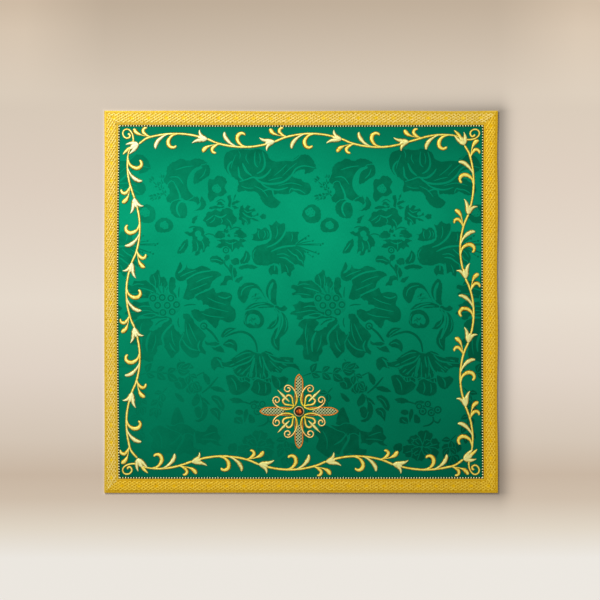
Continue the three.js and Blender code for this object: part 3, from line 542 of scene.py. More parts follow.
def lower_garland(x):
    """The leaves, berries and round flowers of the lower half."""
    for outline in (
            ((53, -112), (60, -105), (69, -107), (73, -114), (68, -122), (60, -123), (55, -119)),
            ((69, -124), (74, -117), (84, -114), (93, -118), (92, -125), (84, -128), (75, -129)),
            ((54, -127), (62, -129), (69, -138), (64, -141), (57, -135)),
            ((86, -127), (91, -134), (88, -143), (80, -147), (77, -140), (81, -132)),
            ((93, -99), (100, -101), (105, -110), (102, -117), (96, -112)),
            ((103, -119), (112, -117), (121, -120), (127, -126), (117, -127), (108, -124)),
            ((91, -133), (98, -135), (105, -144), (98, -143)),
            ((81, -150), (88, -145), (93, -152), (91, -163), (84, -161)),
            ((96, -139), (101, -146), (101, -157), (96, -165), (88, -169), (82, -166), (90, -162),
             (93, -155), (92, -146)),
            ((105, -131), (113, -130), (121, -136), (125, -146), (122, -153), (116, -150), (112, -143),
             (106, -137)),
            ((103, -150), (112, -147), (119, -152), (119, -160), (117, -168), (112, -162), (106, -157)),
            ((125, -106), (134, -102), (139, -108), (136, -115), (128, -113)),
            ((138, -155), (142, -150), (149, -151), (151, -157), (144, -159)),
            ((151, -152), (156, -149), (158, -156), (155, -164), (152, -170), (150, -162)),
            ((130, -136), (140, -133), (151, -138), (142, -143), (134, -140)),
            ((158, -141), (166, -137), (174, -140), (166, -144)),
            ((157, -158), (162, -157), (167, -163), (166, -170), (158, -169)),
            ((137, -162), (142, -160), (149, -162), (150, -170), (143, -171), (137, -169)),
            ((136, -100), (148, -104), (160, -106), (158, -115), (146, -116), (136, -111)),
            ((162, -106), (176, -108), (190, -106), (188, -114), (174, -116), (163, -114)),
            ((128, -203), (132, -198), (140, -197), (143, -205), (137, -212), (130, -210)),
            ((49, -172), (50, -160), (54, -149), (60, -147), (64, -155), (68, -166), (66, -172)),
            ((196, -204), (200, -198), (206, -198), (209, -195), (216, -196), (223, -199), (225, -206),
             (217, -212), (208, -210), (204, -213), (199, -210)),
            ((40, -172), (52, -173), (62, -169), (74, -172), (84, -179), (96, -181), (100, -175),
             (106, -171), (114, -176), (116, -184), (120, -190), (116, -196), (122, -202), (112, -201),
             (104, -197), (96, -201), (88, -198), (80, -200), (70, -190), (56, -184)),
            ((24, -176), (34, -172), (48, -178), (62, -184), (66, -194), (60, -204), (54, -214),
             (44, -212), (38, -218), (28, -212), (20, -204), (24, -192), (18, -184)),
            ((66, -186), (76, -184), (84, -192), (84, -204), (92, -206), (90, -214), (80, -216),
             (68, -212), (60, -216), (58, -206), (64, -196))):
        woven_shape(x, outline, 1.0, 1.1, 0.7)
    for width, shade, line in (
            (2.8, 1.0, ((92, -128), (103, -119), (115, -105))),
            (2.2, 1.0, ((134, -141), (150, -140), (164, -144), (190, -150))),
            (2.6, 1.0, ((183, -158), (185, -166), (179, -172), (170, -174))),
            (2.6, 1.0, ((184, -165), (191, -169), (195, -163))),
            (2.0, 1.0, ((90, -130), (94, -142), (92, -156))),
            (2.0, 1.0, ((72, -114), (84, -104), (96, -98))),
            (3.2, 0.1, ((68, -184), (66, -193), (60, -203), (54, -213))),
            (3.0, 0.1, ((82, -182), (82, -194), (82, -205))),
            (2.4, 0.1, ((46, -200), (56, -194), (64, -184))),
            (2.4, 0.1, ((98, -164), (94, -172), (98, -181))),
            (1.6, 0.1, ((30, -180), (36, -192), (36, -206))),
            (1.6, 0.1, ((94, -188), (104, -184), (112, -182))),
            (1.5, 0.1, ((90, -192), (102, -192), (114, -194))),
            (1.5, 0.1, ((58, -110), (63, -114), (64, -120))),
            (1.5, 0.1, ((74, -122), (82, -120), (89, -121))),
            (1.5, 0.1, ((108, -134), (115, -138), (120, -147))),
            (1.5, 0.1, ((108, -151), (113, -154), (115, -161))),
            (1.5, 0.1, ((141, -164), (144, -167), (148, -169)))):
        woven_stroke(x, line, width, shade)
    for px, top in (
            (140, -103), (144, -104), (148, -105), (152, -106), (166, -108), (171, -109), (176, -110),
            (181, -109), (186, -108)):
        woven_stroke(x, ((px, top), (px + 0.5, top - 4), (px + 1.5, top - 8)), 1.5, 0.0)
    for px, py, reach in (
            (170, -153, 5.6), (182, -155, 5.2), (191, -151, 5.4), (177, -143, 4.6), (165, -146, 4.2)):
        woven_ring(x + px, py, reach, 1.8, 0.9)
    petal = ((0.1, -0.12), (0.55, -0.36), (0.86, -0.34), (0.93, -0.12), (1.02, 0),
             (0.93, 0.14), (0.9, 0.32), (0.56, 0.38), (0.1, 0.12))
    for reach, count, turn in ((28, 6, 16), (18, 4, 40)):
        for i in range(count):
            a = math.radians(turn + 360 * i / count + 8 * math.sin(3 * i))
            c, s = math.cos(a), math.sin(a)
            reach *= 1 + 0.16 * math.sin(2.7 * i + count)
            turned = [(p * c - q * s, p * s + q * c) for p, q in petal]
            outline = [(169 + reach * p, -203 + reach * 0.84 * q) for p, q in turned]
            woven_shape(x, outline, 1.0, 1.2, 1.2)
            rib = [(169 + reach * p * c, -204 + reach * 0.86 * p * s) for p in (0.4, 0.65, 0.86)]
            woven_stroke(x, rib, 1.5)
    for line, size in (
            (((60, -80), (72, -96), (80, -112)), 13), (((2, -104), (22, -98), (44, -100), (62, -94)), 15),
            (((44, -120), (34, -132), (30, -148)), 13), (((-14, -186), (-24, -198), (-20, -214)), 15),
            (((10, -150), (2, -166), (4, -182)), 14), (((-4, -120), (6, -132), (8, -146)), 12)):
        leafed_twig(x, line, size)


cut_fruits = (
    (((-131, 166), (-128, 172), (-122, 172), (-117, 177), (-108, 175), (-103, 168), (-106, 160),
      (-103, 153), (-110, 147), (-118, 146), (-126, 139), (-131, 146), (-130, 156)), (-118, 158, 6)),
    (((1, 120), (3, 129), (8, 134), (15, 137), (23, 134), (28, 127), (28, 117), (24, 111), (16, 109),
      (8, 111)), (13, 125, 6.5)),
    (((26, 106), (29, 113), (36, 118), (45, 117), (52, 111), (53, 104), (48, 98), (38, 96), (29, 98)),
      (40, 107, 5.5)),
)
for figure_copy in (-1, 0, 1):
    x = figure_copy * figure_repeat
    horned_leaf(x)
    flowing_lily(x)
    for outline, heart in cut_fruits:
        round_fruit(x, outline, heart)
    tufted_flowers(x)
    fan_flower(x)
    curling_iris(x)
    drooping_bell(x)
    lower_garland(x)
    great_bloom(x)

# the outlines and a loose net of points between them are joined into one skin of triangles, and each
# triangle takes the shade of the shape that lies on top at its middle
shown_half_width, shown_half_depth = 254, 245
net_start, net_step = (-270, -262), (9, 8)
net_count, net_limit = (61, 66), (271, 263)
same_point = 1e-4
outside_hem = -1.0
corners, outlines = [], []
for outline, shade in [(hem_line, 0.0)] + figure_shapes:
    across, along = [p[0] for p in outline], [p[1] for p in outline]
    in_width = max(across) > -shown_half_width and min(across) < shown_half_width
    if in_width and max(along) > -shown_half_depth and min(along) < shown_half_depth:
        outlines.append((len(corners), len(outline), shade))
        corners.extend(Vector(p) for p in outline)
edges = [(first + i, first + (i + 1) % count) for first, count, _ in outlines for i in range(count)]
net = []
for i in range(net_count[0]):
    for j in range(net_count[1]):
        point = Vector((net_start[0] + net_step[0] * (i + j % 2 / 2), net_start[1] + net_step[1] * j))
        if abs(point.x) < net_limit[0] and abs(point.y) < net_limit[1]:
            net.append(point)
flat_points, _, flat_faces, _, _, _ = delaunay_2d_cdt(corners + net, edges, [], 0, same_point, True)
middles = np.array(flat_points)[np.array(flat_faces)].mean(axis=1)
shades = np.full(len(flat_faces), outside_hem)
for first, count, shade in outlines:
    ring = np.array(corners[first:first + count])
    low, high = ring.min(axis=0), ring.max(axis=0)
    near = np.nonzero(((middles > low) & (middles < high)).all(axis=1))[0]
    px, py = middles[near].T
    inside = np.zeros(len(near), bool)
    for (ax, ay), (bx, by) in zip(ring, np.roll(ring, -1, axis=0)):
        if ay != by:
            inside ^= ((ay > py) != (by > py)) & (px < (bx - ax) * (py - ay) / (by - ay) + ax)
    is_hem = first == 0
    inside &= (shades[near] > outside_hem) | is_hem
    shades[near[inside]] = shade
kept = [(face, shade) for face, shade in zip(flat_faces, shades.tolist()) if shade > outside_hem]


pucker_height = 0.14
pucker_half_width, pucker_half_depth, pucker_fade = 252, 244, 20


def cloth_height(x, y):
    """The cloth lies flat, apart from a slight puckering inside the stitched border."""
    from_border = min((pucker_half_width - abs(x)) / pucker_fade, (pucker_half_depth - abs(y)) / pucker_fade)
    ripple = math.sin(x / 23 + 1.7 * math.sin(y / 61)) * math.sin(y / 29 + 1.3 * math.sin(x / 47))
    return cloth_top + pucker_height * ripple * max(0, min(1, from_border))


def stand_in_scene(name, mesh):
    """The object for a mesh, put into the scene at its origin."""
    thing = bpy.data.objects.new(name, mesh)
    bpy.context.collection.objects.link(thing)
    return thing


def work_on(thing):
    """Selects one object alone, with all of its mesh open for editing."""
    bpy.ops.object.select_all(action="DESELECT")
    bpy.context.view_layer.objects.active = thing
    thing.select_set(True)
    bpy.ops.object.mode_set(mode="EDIT")
    bpy.ops.mesh.select_all(action="SELECT")


def turn_faces_out():
    """Ends the work on a mesh, with all its faces turned outwards."""
    bpy.ops.mesh.select_all(action="SELECT")
    bpy.ops.mesh.normals_make_consistent(inside=False)
    bpy.ops.object.mode_set(mode="OBJECT")


cloth_mesh = bpy.data.meshes.new("damask_cloth")
cloth_points = [(x * MM, y * MM, cloth_height(x, y) * MM) for x, y in flat_points]
cloth_mesh.from_pydata(cloth_points, [], [face for face, _ in kept])
cloth = stand_in_scene("damask_cloth", cloth_mesh)
figure = cloth_mesh.attributes.new("figure", "FLOAT", "FACE")
figure.data.foreach_set("value", [shade for _, shade in kept])
work_on(cloth)
bpy.ops.mesh.delete_loose()
bpy.ops.mesh.select_all(action="SELECT")
bpy.ops.mesh.region_to_loop()
bpy.ops.mesh.extrude_edges_move(TRANSFORM_OT_translate={"value": (0, 0, -cloth_top * MM)})
bpy.ops.mesh.edge_face_add()
turn_faces_out()


def finish_nodes(name, roughness, metallic=0.0, **sockets):
    """A material, the place on its object, and short ways to add and join its nodes."""
    material = bpy.data.materials.new(name)
    material.use_nodes = True
    tree = material.node_tree
    shader = tree.nodes["Principled BSDF"]
    shader.inputs["Roughness"].default_value = roughness
    shader.inputs["Metallic"].default_value = metallic
    for socket, value in sockets.items():
        shader.inputs[socket.replace("_", " ")].default_value = value

    def add(kind, links=None, **settings):
        node = tree.nodes.new(kind)
        for key, value in settings.items():
            setattr(node, key, value)
        for socket, value in (links or {}).items():
            if isinstance(value, bpy.types.NodeSocket):
                tree.links.new(value, node.inputs[socket])
            else:
                node.inputs[socket].default_value = value
        return node

    def calc(operation, first, second=0.0, third=0.0):
        return add("ShaderNodeMath", {0: first, 1: second, 2: third}, operation=operation).outputs[0]

    def blend(amount, first, second, kind="MIX"):
        first, second = ((*c, 1) if isinstance(c, tuple) else c for c in (first, second))
        links = {0: amount, 6: first, 7: second}
        return add("ShaderNodeMix", links, data_type="RGBA", blend_type=kind).outputs[2]

    def noise(scale, detail=2.0, roughness=0.5, at=None):
        links = {"Vector": at or place, "Scale": scale, "Detail": detail, "Roughness": roughness}
        return add("ShaderNodeTexNoise", links).outputs["Fac"]

    def into(socket, value):
        tree.links.new(value, shader.inputs[socket])

    place = add("ShaderNodeTexCoord").outputs["Object"]
    return material, place, add, calc, blend, noise, into


silk, place, add, calc, blend, noise, into = finish_nodes(
    "silk_damask", 0.45, 0.5, Specular_IOR_Level=0.4, Specular_Tint=(0.0, 0.75, 0.5, 1), Anisotropic=0.2)
woven = add("ShaderNodeAttribute", attribute_name="figure").outputs["Fac"]
east, north, _ = add("ShaderNodeSeparateXYZ", {0: place}).outputs

# painted light: the figure is painted to stand out most at the right and to fade towards both left
# corners, as the window's light falls across the damask
patch = noise(5.0, 1.0)
rise = calc("ADD", calc("MULTIPLY_ADD", east, 0.55, north), calc("MULTIPLY_ADD", patch, 0.3, -0.15))
strength = calc("MINIMUM", calc("MAXIMUM", calc("MULTIPLY_ADD", rise, 3.4, 1.4), 0.36), 1.0)
corner_fade = calc("MULTIPLY_ADD", calc("SUBTRACT", north, east), -2.0, 1.4)
right_gain = calc("MULTIPLY_ADD", calc("MAXIMUM", east, 0.0), 0.7, 0.9)
edge_fade = calc("MINIMUM", calc("MAXIMUM", corner_fade, 0.62), right_gain)
uneven = calc("MULTIPLY_ADD", noise(75.0, 4.0, 0.65), 0.9, 0.55)
dulled = calc("MULTIPLY", calc("MULTIPLY", woven, calc("MULTIPLY", strength, edge_fade)), uneven)
cloud = noise(13.0, 3.0, 0.55)
ground_green = blend(cloud, (0.001, 0.2, 0.1), (0.002, 0.29, 0.15))
figure_green = blend(cloud, (0.0007, 0.096, 0.045), (0.0013, 0.136, 0.065))
colour = blend(dulled, ground_green, figure_green)

# the satin's sheen is brightest a little behind the middle and falls off towards all four sides
back_to_front = (north, 1.87, (0.36, 0.36), (
    (0.14, 0.52), (0.31, 0.63), (0.5, 0.82), (0.64, 0.95), (0.76, 0.92), (0.84, 0.82), (0.92, 0.56)))
side_to_side = (east, 1.82, (0.8, 0.74), (
    (0.16, 0.92), (0.34, 0.98), (0.54, 1.0), (0.68, 0.88), (0.86, 0.86)))
sheen = []
for reach, gain, ends, tones in (back_to_front, side_to_side):
    bolt = add("ShaderNodeValToRGB", {0: calc("MULTIPLY_ADD", reach, gain, 0.5)})
    ramp = bolt.color_ramp
    ramp.interpolation = "B_SPLINE"
    for end, tone in zip(ramp.elements, ends):
        end.color = (tone, tone, tone, 1)
    for at, tone in tones:
        ramp.elements.new(at).color = (tone, tone, tone, 1)
    sheen.append(bolt.outputs[0])

# the ground's threads run one way and the figure's the other, as fine streaks
fine, coarse = 2400, 260
warp = noise(1.0, at=add("ShaderNodeMapping", {"Vector": place, "Scale": (fine, coarse, 1)}).outputs[0])
weft = noise(1.0, at=add("ShaderNodeMapping", {"Vector": place, "Scale": (coarse, fine, 1)}).outputs[0])
threads = add("ShaderNodeMix", {0: woven, 2: warp, 3: weft}).outputs[0]
# painted sheen: the threads' streaks are scaled by the sheen, and both go into the silk's colour
lit = calc("MULTIPLY", sheen[0], calc("MULTIPLY", sheen[1], 1.26))
grain_and_sheen = calc("MULTIPLY", calc("MULTIPLY_ADD", threads, 0.5, 0.85), lit)
tone = add("ShaderNodeCombineColor", {0: grain_and_sheen, 1: grain_and_sheen, 2: grain_and_sheen}).outputs[0]
into("Base Color", blend(1.0, colour, tone, "MULTIPLY"))
into("Roughness", calc("MULTIPLY_ADD", woven, 0.18, 0.4))
into("Normal", add("ShaderNodeBump", {"Height": threads, "Strength": 0.35, "Distance": 0.0001}).outputs[0])
cloth_mesh.materials.append(silk)
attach(cloth, "root")
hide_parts("damask_panel")


# The galloon is a flat band woven of gilt thread, sewn on in four lengths that are mitred at the
# corners. A lattice of fine pale lines with a row of yellow lozenges runs down its middle, between
# two grooves and twilled borders.
band_width = 20.0
picot_width = 2.1
band_floor = 1.25
mitre_gap = 0.1
station_step = 5
# share of the width from the outer edge, and height over the band's floor
band_section = (
    (0, 0.0), (0, 0.6), (0.02, 0.84), (0.08, 0.95), (0.14, 1.0), (0.17, 1.1), (0.24, 1.18), (0.38, 1.22),
    (0.5, 1.24), (0.62, 1.22), (0.76, 1.18), (0.83, 1.1), (0.86, 1.0), (0.93, 0.96), (0.99, 0.86),
    (1.0, 0.6), (1.0, 0.42), (1.105, 0.4), (1.105, 0.0))
band_middle = 10.1
lattice_half_width = 6.6
groove_from_middle, groove_half_width = 6.9, 0.35
lattice_pitch, lattice_slant = 3.9, 0.6
lozenge_pitch, lozenge_half_length, lozenge_half_width = 12.2, 5.2, 3.0
twill_pitch = 2.6

braid, place, add, calc, blend, noise, into = finish_nodes(
    "gilt_galloon", 0.42, 0.3, Specular_IOR_Level=0.4, Specular_Tint=(1, 0.75, 0.25, 1))
run = add("ShaderNodeSeparateXYZ", {0: add("ShaderNodeUVMap", uv_map="weave").outputs[0]})
along = calc("MULTIPLY", run.outputs[0], 1 / MM)
over = calc("MULTIPLY", run.outputs[1], 1 / MM)
middle = calc("SUBTRACT", over, band_middle)
from_middle = calc("ABSOLUTE", middle)

# the weave's height: lattice and lozenges in the middle, twill beside them, and the grooves
lines = []
for sign in (1.0, -1.0):
    slant = calc("MULTIPLY_ADD", along, lattice_slant, calc("MULTIPLY", middle, sign))
    wave = calc("COSINE", calc("MULTIPLY", slant, math.pi / lattice_pitch))
    lines.append(calc("POWER", calc("ABSOLUTE", wave), 4.0))
lattice_line = calc("MAXIMUM", lines[0], lines[1])
lozenge_run = calc("MULTIPLY", calc("PINGPONG", along, lozenge_pitch), 1 / lozenge_half_length)
lozenge_sides = calc("MULTIPLY", from_middle, 1 / lozenge_half_width)
off_lozenge = calc("MINIMUM", calc("ADD", lozenge_run, lozenge_sides), 1.0)
lattice_height = calc("MULTIPLY_ADD", calc("MULTIPLY", lattice_line, off_lozenge), 0.6, 0.18)
twill = calc("ABSOLUTE", calc("SINE", calc("MULTIPLY", calc("ADD", along, over), math.pi / twill_pitch)))
twill_height = calc("MULTIPLY_ADD", twill, 0.2, 0.28)
in_lattice = calc("LESS_THAN", from_middle, lattice_half_width)
height = add("ShaderNodeMix", {0: in_lattice, 2: twill_height, 3: lattice_height}).outputs[0]
from_groove = calc("ABSOLUTE", calc("SUBTRACT", from_middle, groove_from_middle))
groove = calc("LESS_THAN", from_groove, groove_half_width)
height = calc("MULTIPLY", height, calc("MULTIPLY_ADD", groove, -0.4, 1.0))

# its gold: painted shade deep in the hollows and painted highlights pale on the crowns, with flecks
# and slubs in the thread
fleck = calc("MULTIPLY_ADD", noise(430.0, 1.0), 1.7, calc("SUBTRACT", noise(900.0), 1.35))
gold_ramp = add("ShaderNodeValToRGB", {0: calc("MULTIPLY_ADD", fleck, 0.55, height)})
ramp = gold_ramp.color_ramp
ramp.elements[0].color = (0.34, 0.18, 0.004, 1)
ramp.elements[1].color = (0.94, 0.78, 0.33, 1)
ramp.elements.new(0.28).color = (0.6, 0.385, 0.014, 1)
ramp.elements.new(0.6).color = (0.66, 0.45, 0.06, 1)

# its light: the front and right bands lie turned from the window, and the back left corner is dimmed
east, north, _ = add("ShaderNodeSeparateXYZ", {0: place}).outputs
veil_slope = 0.971
turned_away = calc("GREATER_THAN", calc("SUBTRACT", calc("MULTIPLY", east, veil_slope), north), 0.0)
gold = blend(turned_away, gold_ramp.outputs[0], (0.95, 0.85, 0.27), "MULTIPLY")
on_lozenge = calc("SUBTRACT", 1.0, calc("MAXIMUM", off_lozenge, calc("SUBTRACT", 1.0, in_lattice)))
yellow = blend(on_lozenge, (1.0, 1.0, 1.0), (1.5, 1.55, 0.5))
gold = add("ShaderNodeVectorMath", {0: gold, 1: yellow}, operation="MULTIPLY").outputs[0]
right_band = calc("MULTIPLY_ADD", calc("GREATER_THAN", east, 0.252), 0.09, 1.0)
back_corner = calc("MAXIMUM", calc("SUBTRACT", calc("SUBTRACT", north, east), 0.11), 0.0)
light_share = calc("MULTIPLY_ADD", back_corner, -0.42, right_band)
gold = add("ShaderNodeVectorMath", {0: gold, 3: light_share}, operation="SCALE").outputs[0]
inner_edge = calc("GREATER_THAN", over, band_width - 0.1)
into("Base Color", blend(inner_edge, gold, (0.004, 0.012, 0.007)))
into("Normal", add("ShaderNodeBump", {"Height": height, "Strength": 0.7, "Distance": 0.0006}).outputs[0])

galloons = {}
for side in veil_sides:
    stations = int(side["length"] / station_step)
    points, faces, marks = [], [], []
    for i in range(stations + 1):
        t = i / stations
        bow = side["bow"] * math.sin(math.pi * t)
        for share, rise in band_section:
            inset = share * band_width
            x = inset + mitre_gap / 2 + (side["length"] - 2 * inset - mitre_gap) * t
            lean = inset / (band_width + picot_width)
            px, py = on_veil(side, x, inset + edge_wander(side, t) * (1 - lean) + bow * lean)
            points.append((px * MM, py * MM, (band_floor + rise) * MM))
            marks.append((x * MM, inset * MM))
    n = len(band_section)
    for i in range(stations):
        for j in range(n):
            k = (j + 1) % n
            faces.append((i * n + j, (i + 1) * n + j, (i + 1) * n + k, i * n + k))
    faces.append(tuple(range(n)))
    faces.append(tuple(range(stations * n + n - 1, stations * n - 1, -1)))
    mesh = bpy.data.meshes.new(f"gilt_band_{side['name']}")
    mesh.from_pydata(points, [], faces)
    weave = mesh.uv_layers.new(name="weave")
    for loop in mesh.loops:
        weave.data[loop.index].uv = marks[loop.vertex_index]
    band = stand_in_scene(f"gilt_band_{side['name']}", mesh)
    work_on(band)
    turn_faces_out()
    bpy.ops.object.shade_smooth_by_angle(angle=math.radians(40))
    mesh.materials.append(braid)
    galloons[side["name"]] = band


# A picot of tiny loops of pale gilt stands along the inner selvedge of each band. One loop is
# rounded from a ball, repeated at its pitch and set along the band's slightly bowed edge.
picot_pitch = 3.8
picot_inset = band_width + picot_width * 0.55
picot_rise = 0.62
loop_half_size = (0.8, 1.0, 0.5)
loop_lean = 0.45
loop_gilt, place, add, calc, blend, noise, into = finish_nodes(
    "picot_gilt", 0.35, 0.3, Specular_IOR_Level=0.5)
speck = noise(700.0)
into("Base Color", blend(speck, (0.82, 0.9, 0.4), (0.98, 1.0, 0.66)))
into("Normal", add("ShaderNodeBump", {"Height": speck, "Strength": 0.3, "Distance": 0.0002}).outputs[0])
for side in veil_sides:
    bpy.ops.mesh.primitive_uv_sphere_add(segments=8, ring_count=6, radius=1, location=(0, 0, 0))
    loops = bpy.context.object
    loops.name = f"picot_{side['name']}"
    work_on(loops)
    bpy.ops.transform.resize(value=[half * MM for half in loop_half_size])
    bpy.ops.transform.rotate(value=loop_lean, orient_axis="Z", center_override=(0, 0, 0))
    bpy.ops.object.mode_set(mode="OBJECT")
    pitches = int((side["length"] - 2 * picot_inset) / picot_pitch)
    row = loops.modifiers.new("row", "ARRAY")
    row.use_relative_offset = False
    row.use_constant_offset = True
    row.constant_offset_displace = (picot_pitch * MM, 0, 0)
    row.count = pitches + 1
    bpy.ops.object.modifier_apply(modifier="row")
    start = (side["length"] - pitches * picot_pitch) / 2
    lean = picot_inset / (band_width + picot_width)
    for vertex in loops.data.vertices:
        x, y, z = vertex.co / MM
        x += start
        t = x / side["length"]
        y += picot_inset + edge_wander(side, t) * (1 - lean) + side["bow"] * math.sin(math.pi * t) * lean
        px, py = on_veil(side, x, y)
        vertex.co = (px * MM, py * MM, (z + band_floor + picot_rise) * MM)
    loops.data.update()
    bpy.ops.object.shade_smooth()
    loops.data.materials.append(loop_gilt)
    band = galloons[side["name"]]
    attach(band, "root")
    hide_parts(f"galloon_{side['name']}")
    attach(loops, "root")


# The running vine is worked by hand in padded satin stitch: a gold stem waves along each side, with
# hooked leaves, buds and pale tulip sheaths. Each stroke is a low pillow of thread sewn to the silk.
stitch_floor = 1.05
stem_end_inset = 48
stem_corner_depth = 47
stem_swing = 9.4
# a leaf: how far before the next sheath it springs, which side of the swing, its headings, length,
# widths, rise and thread
vine_leaves = (
    (57, 1, [10, 12, 46, 72, 118, 176, 250], 38.5, [1.6, 2.8, 4.8, 6.4, 6.6, 5.0, 3.8], 1.1, "gold"),
    (43, 1, [14, 28, 44, 62, 104], 31, [1.4, 2.4, 3.8, 5.4, 6.8, 6.0, 3.0], 1.2, "pale"),
    (18, -1, [2, 30, 42, 124, 200], 23.5, [1.8, 3.0, 4.8, 5.8, 4.8, 3.2], 1.0, "gold"),
    (18, -1, [8, 8, 28, 76], 29, [1.8, 1.5, 1.5, 2.2, 5.6, 7.4, 5.4], 1.2, "gold"),
)
# a petal of a sheath: which side of the swing, its headings, length, widths and rise
sheath_petals = (
    (1, [4, 22], 14, [3, 9.4, 8.6, 2.4], 1.4),
    (1, [18, 28, 62, 104], 19, [2.4, 6.6, 6.2, 4.4, 1.0], 1.3),
    (-1, [18, 0, 16, 42], 23, [2.4, 6.8, 6.8, 4.6, 1.0], 1.3),
)
# a petal or curl at a corner: its root along the side, headings, length, widths, rise and thread
corner_petals = (
    (0, [16, 44], 14, [3.4, 9.6, 9, 2.8], 1.4, "pale"),
    (0, [-20, 24], 18.5, [3, 6.6, 6.4, 4.2, 1.0], 1.3, "pale"),
    (0, [52, 42], 19, [3, 6.6, 6.4, 4.2, 1.0], 1.3, "pale"),
    (8.5, [-112, -88, -72, -44, 26, 94, 146, 232, 380], 56, [3.4, 3, 2.8, 2.8, 2.8, 3.2, 4.4], 1.0, "gold"),
)

bpy.ops.mesh.primitive_grid_add(x_subdivisions=26, y_subdivisions=6, size=1)
pillow = bpy.context.object
pillow.name = "stitched_pillow"
work_on(pillow)
bpy.ops.mesh.extrude_region_move(TRANSFORM_OT_translate={"value": (0, 0, 1)})
turn_faces_out()


def even_steps(values, t):
    """The value at share t of a list that is set at even steps."""
    at = min(max(t, 0), 1) * (len(values) - 1)
    low = min(int(at), len(values) - 2)
    return values[low] + (values[low + 1] - values[low]) * (at - low)


def curling_line(root, headings, length, turn=1, steps=60):
    """A line that leaves its root and turns through its headings, given in degrees at even steps."""
    line = [tuple(root)]
    for i in range(steps):
        angle = math.radians(turn * even_steps(headings, (i + 0.5) / steps))
        x, y = line[-1]
        line.append((x + math.cos(angle) * length / steps, y + math.sin(angle) * length / steps))
    return line


def satin_stroke(line, widths, rise, fullness=0.62):
    """A padded satin stroke: the pillow laid along a line, its ends rounded off."""
    lengths = [0.0]
    for a, b in zip(line, line[1:]):
        lengths.append(lengths[-1] + math.dist(a, b))
    whole = lengths[-1]
    mesh = pillow.data.copy()
    for vertex in mesh.vertices:
        # the pillow's cross rows stand closer together near both ends
        u, w = vertex.co.x + 0.5, vertex.co.y * 2
        u = 0.65 * u + 0.35 * (0.5 - 0.5 * math.cos(math.pi * u))
        along = u * whole
        i = min(max(bisect_left(lengths, along), 1), len(line) - 1)
        share = (along - lengths[i - 1]) / max(lengths[i] - lengths[i - 1], 1e-9)
        x = line[i - 1][0] + (line[i][0] - line[i - 1][0]) * share
        y = line[i - 1][1] + (line[i][1] - line[i - 1][1]) * share
        back, ahead = line[max(i - 2, 0)], line[min(i + 1, len(line) - 1)]
        run = math.dist(back, ahead)
        out_x, out_y = -(ahead[1] - back[1]) / run, (ahead[0] - back[0]) / run
        half = even_steps(widths, u) / 2
        blunt_end = min(max(half, 0.5), whole / 3)
        from_end = min(along, whole - along) / blunt_end
        round_off = math.sqrt(max(1 - (1 - min(from_end, 1)) ** 2, 0.0))
        half *= max(round_off, 0.06)
        crown = 1.3 * rise * min(1, 0.5 + half / 3.2) * (0.35 + 0.65 * round_off)
        top = cloth_top + crown * (1 - abs(w) ** 2.2) ** fullness
        z = stitch_floor if vertex.co.z < 0.5 else top
        vertex.co = ((x + out_x * half * w) * MM, (y + out_y * half * w) * MM, z * MM)
    for loop in mesh.uv_layers[0].data:
        loop.uv = (loop.uv[0] * whole * MM, loop.uv[1])
    return mesh


def place_stroke(mesh, name, move):
    """Stands a stroke in its place by its points, so that its object keeps to the origin."""
    for vertex in mesh.vertices:
        x, y = move(vertex.co.x / MM, vertex.co.y / MM)
        vertex.co.x, vertex.co.y = x * MM, y * MM
    return stand_in_scene(name, mesh)


def stitch_together(strokes, name, material):
    """Joins strokes of one thread into one piece."""
    bpy.ops.object.select_all(action="DESELECT")
    for stroke in strokes:
        stroke.select_set(True)
    bpy.context.view_layer.objects.active = strokes[0]
    bpy.ops.object.join()
    piece = bpy.context.object
    piece.name = name
    bpy.ops.object.shade_smooth_by_angle(angle=math.radians(50))
    piece.data.materials.clear()
    piece.data.materials.append(material)
    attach(piece, "root")
    return piece


def stem_line(side, places):
    """The stem's smooth line along one side, out of its corner and through its swings."""
    from_corner = ((51, -3.2), (59, -6.4), (76, -8.0), (95, -6.2), (109, -2.6))
    one_swing = ((0, 0.2), (0.14, 0.6), (0.3, 0.9), (0.46, 1), (0.62, 0.9), (0.76, 0.66), (0.88, 0.32))
    knots = [(x, y + side["vine"]) for x, y in from_corner]
    for m, (start, end) in enumerate(zip(places, places[1:])):
        swing_side = stem_swing if m % 2 == 0 else -stem_swing
        for share, swing in one_swing:
            knots.append((start + (end - start) * share, side["vine"] + swing_side * swing))
    knots.append((side["length"] - stem_end_inset, stem_corner_depth))
    before, after = Vector(knots[0]) * 2 - Vector(knots[1]), Vector(knots[-1]) * 2 - Vector(knots[-2])
    knots = [before] + [Vector(p) for p in knots] + [after]
    line = []
    for a, b, c, d in zip(knots, knots[1:], knots[2:], knots[3:]):
        t1 = (b - a).length ** 0.5
        t2 = t1 + (c - b).length ** 0.5
        t3 = t2 + (d - c).length ** 0.5
        for k in range(8):
            t = t1 + (t2 - t1) * k / 8
            ab, bc, cd = a.lerp(b, t / t1), b.lerp(c, (t - t1) / (t2 - t1)), c.lerp(d, (t - t2) / (t3 - t2))
            abc, bcd = ab.lerp(bc, t / t2), bc.lerp(cd, (t - t1) / (t3 - t1))
            line.append(tuple(abc.lerp(bcd, (t - t1) / (t2 - t1))))
    return line + [tuple(knots[-2])]


def stem_at(stem, x):
    """The stem's point at x along its side."""
    i = max(1, next(k for k, p in enumerate(stem) if p[0] >= x - 1e-6))
    a, b = stem[i - 1], stem[i]
    return x, a[1] + (b[1] - a[1]) * (x - a[0]) / (b[0] - a[0])


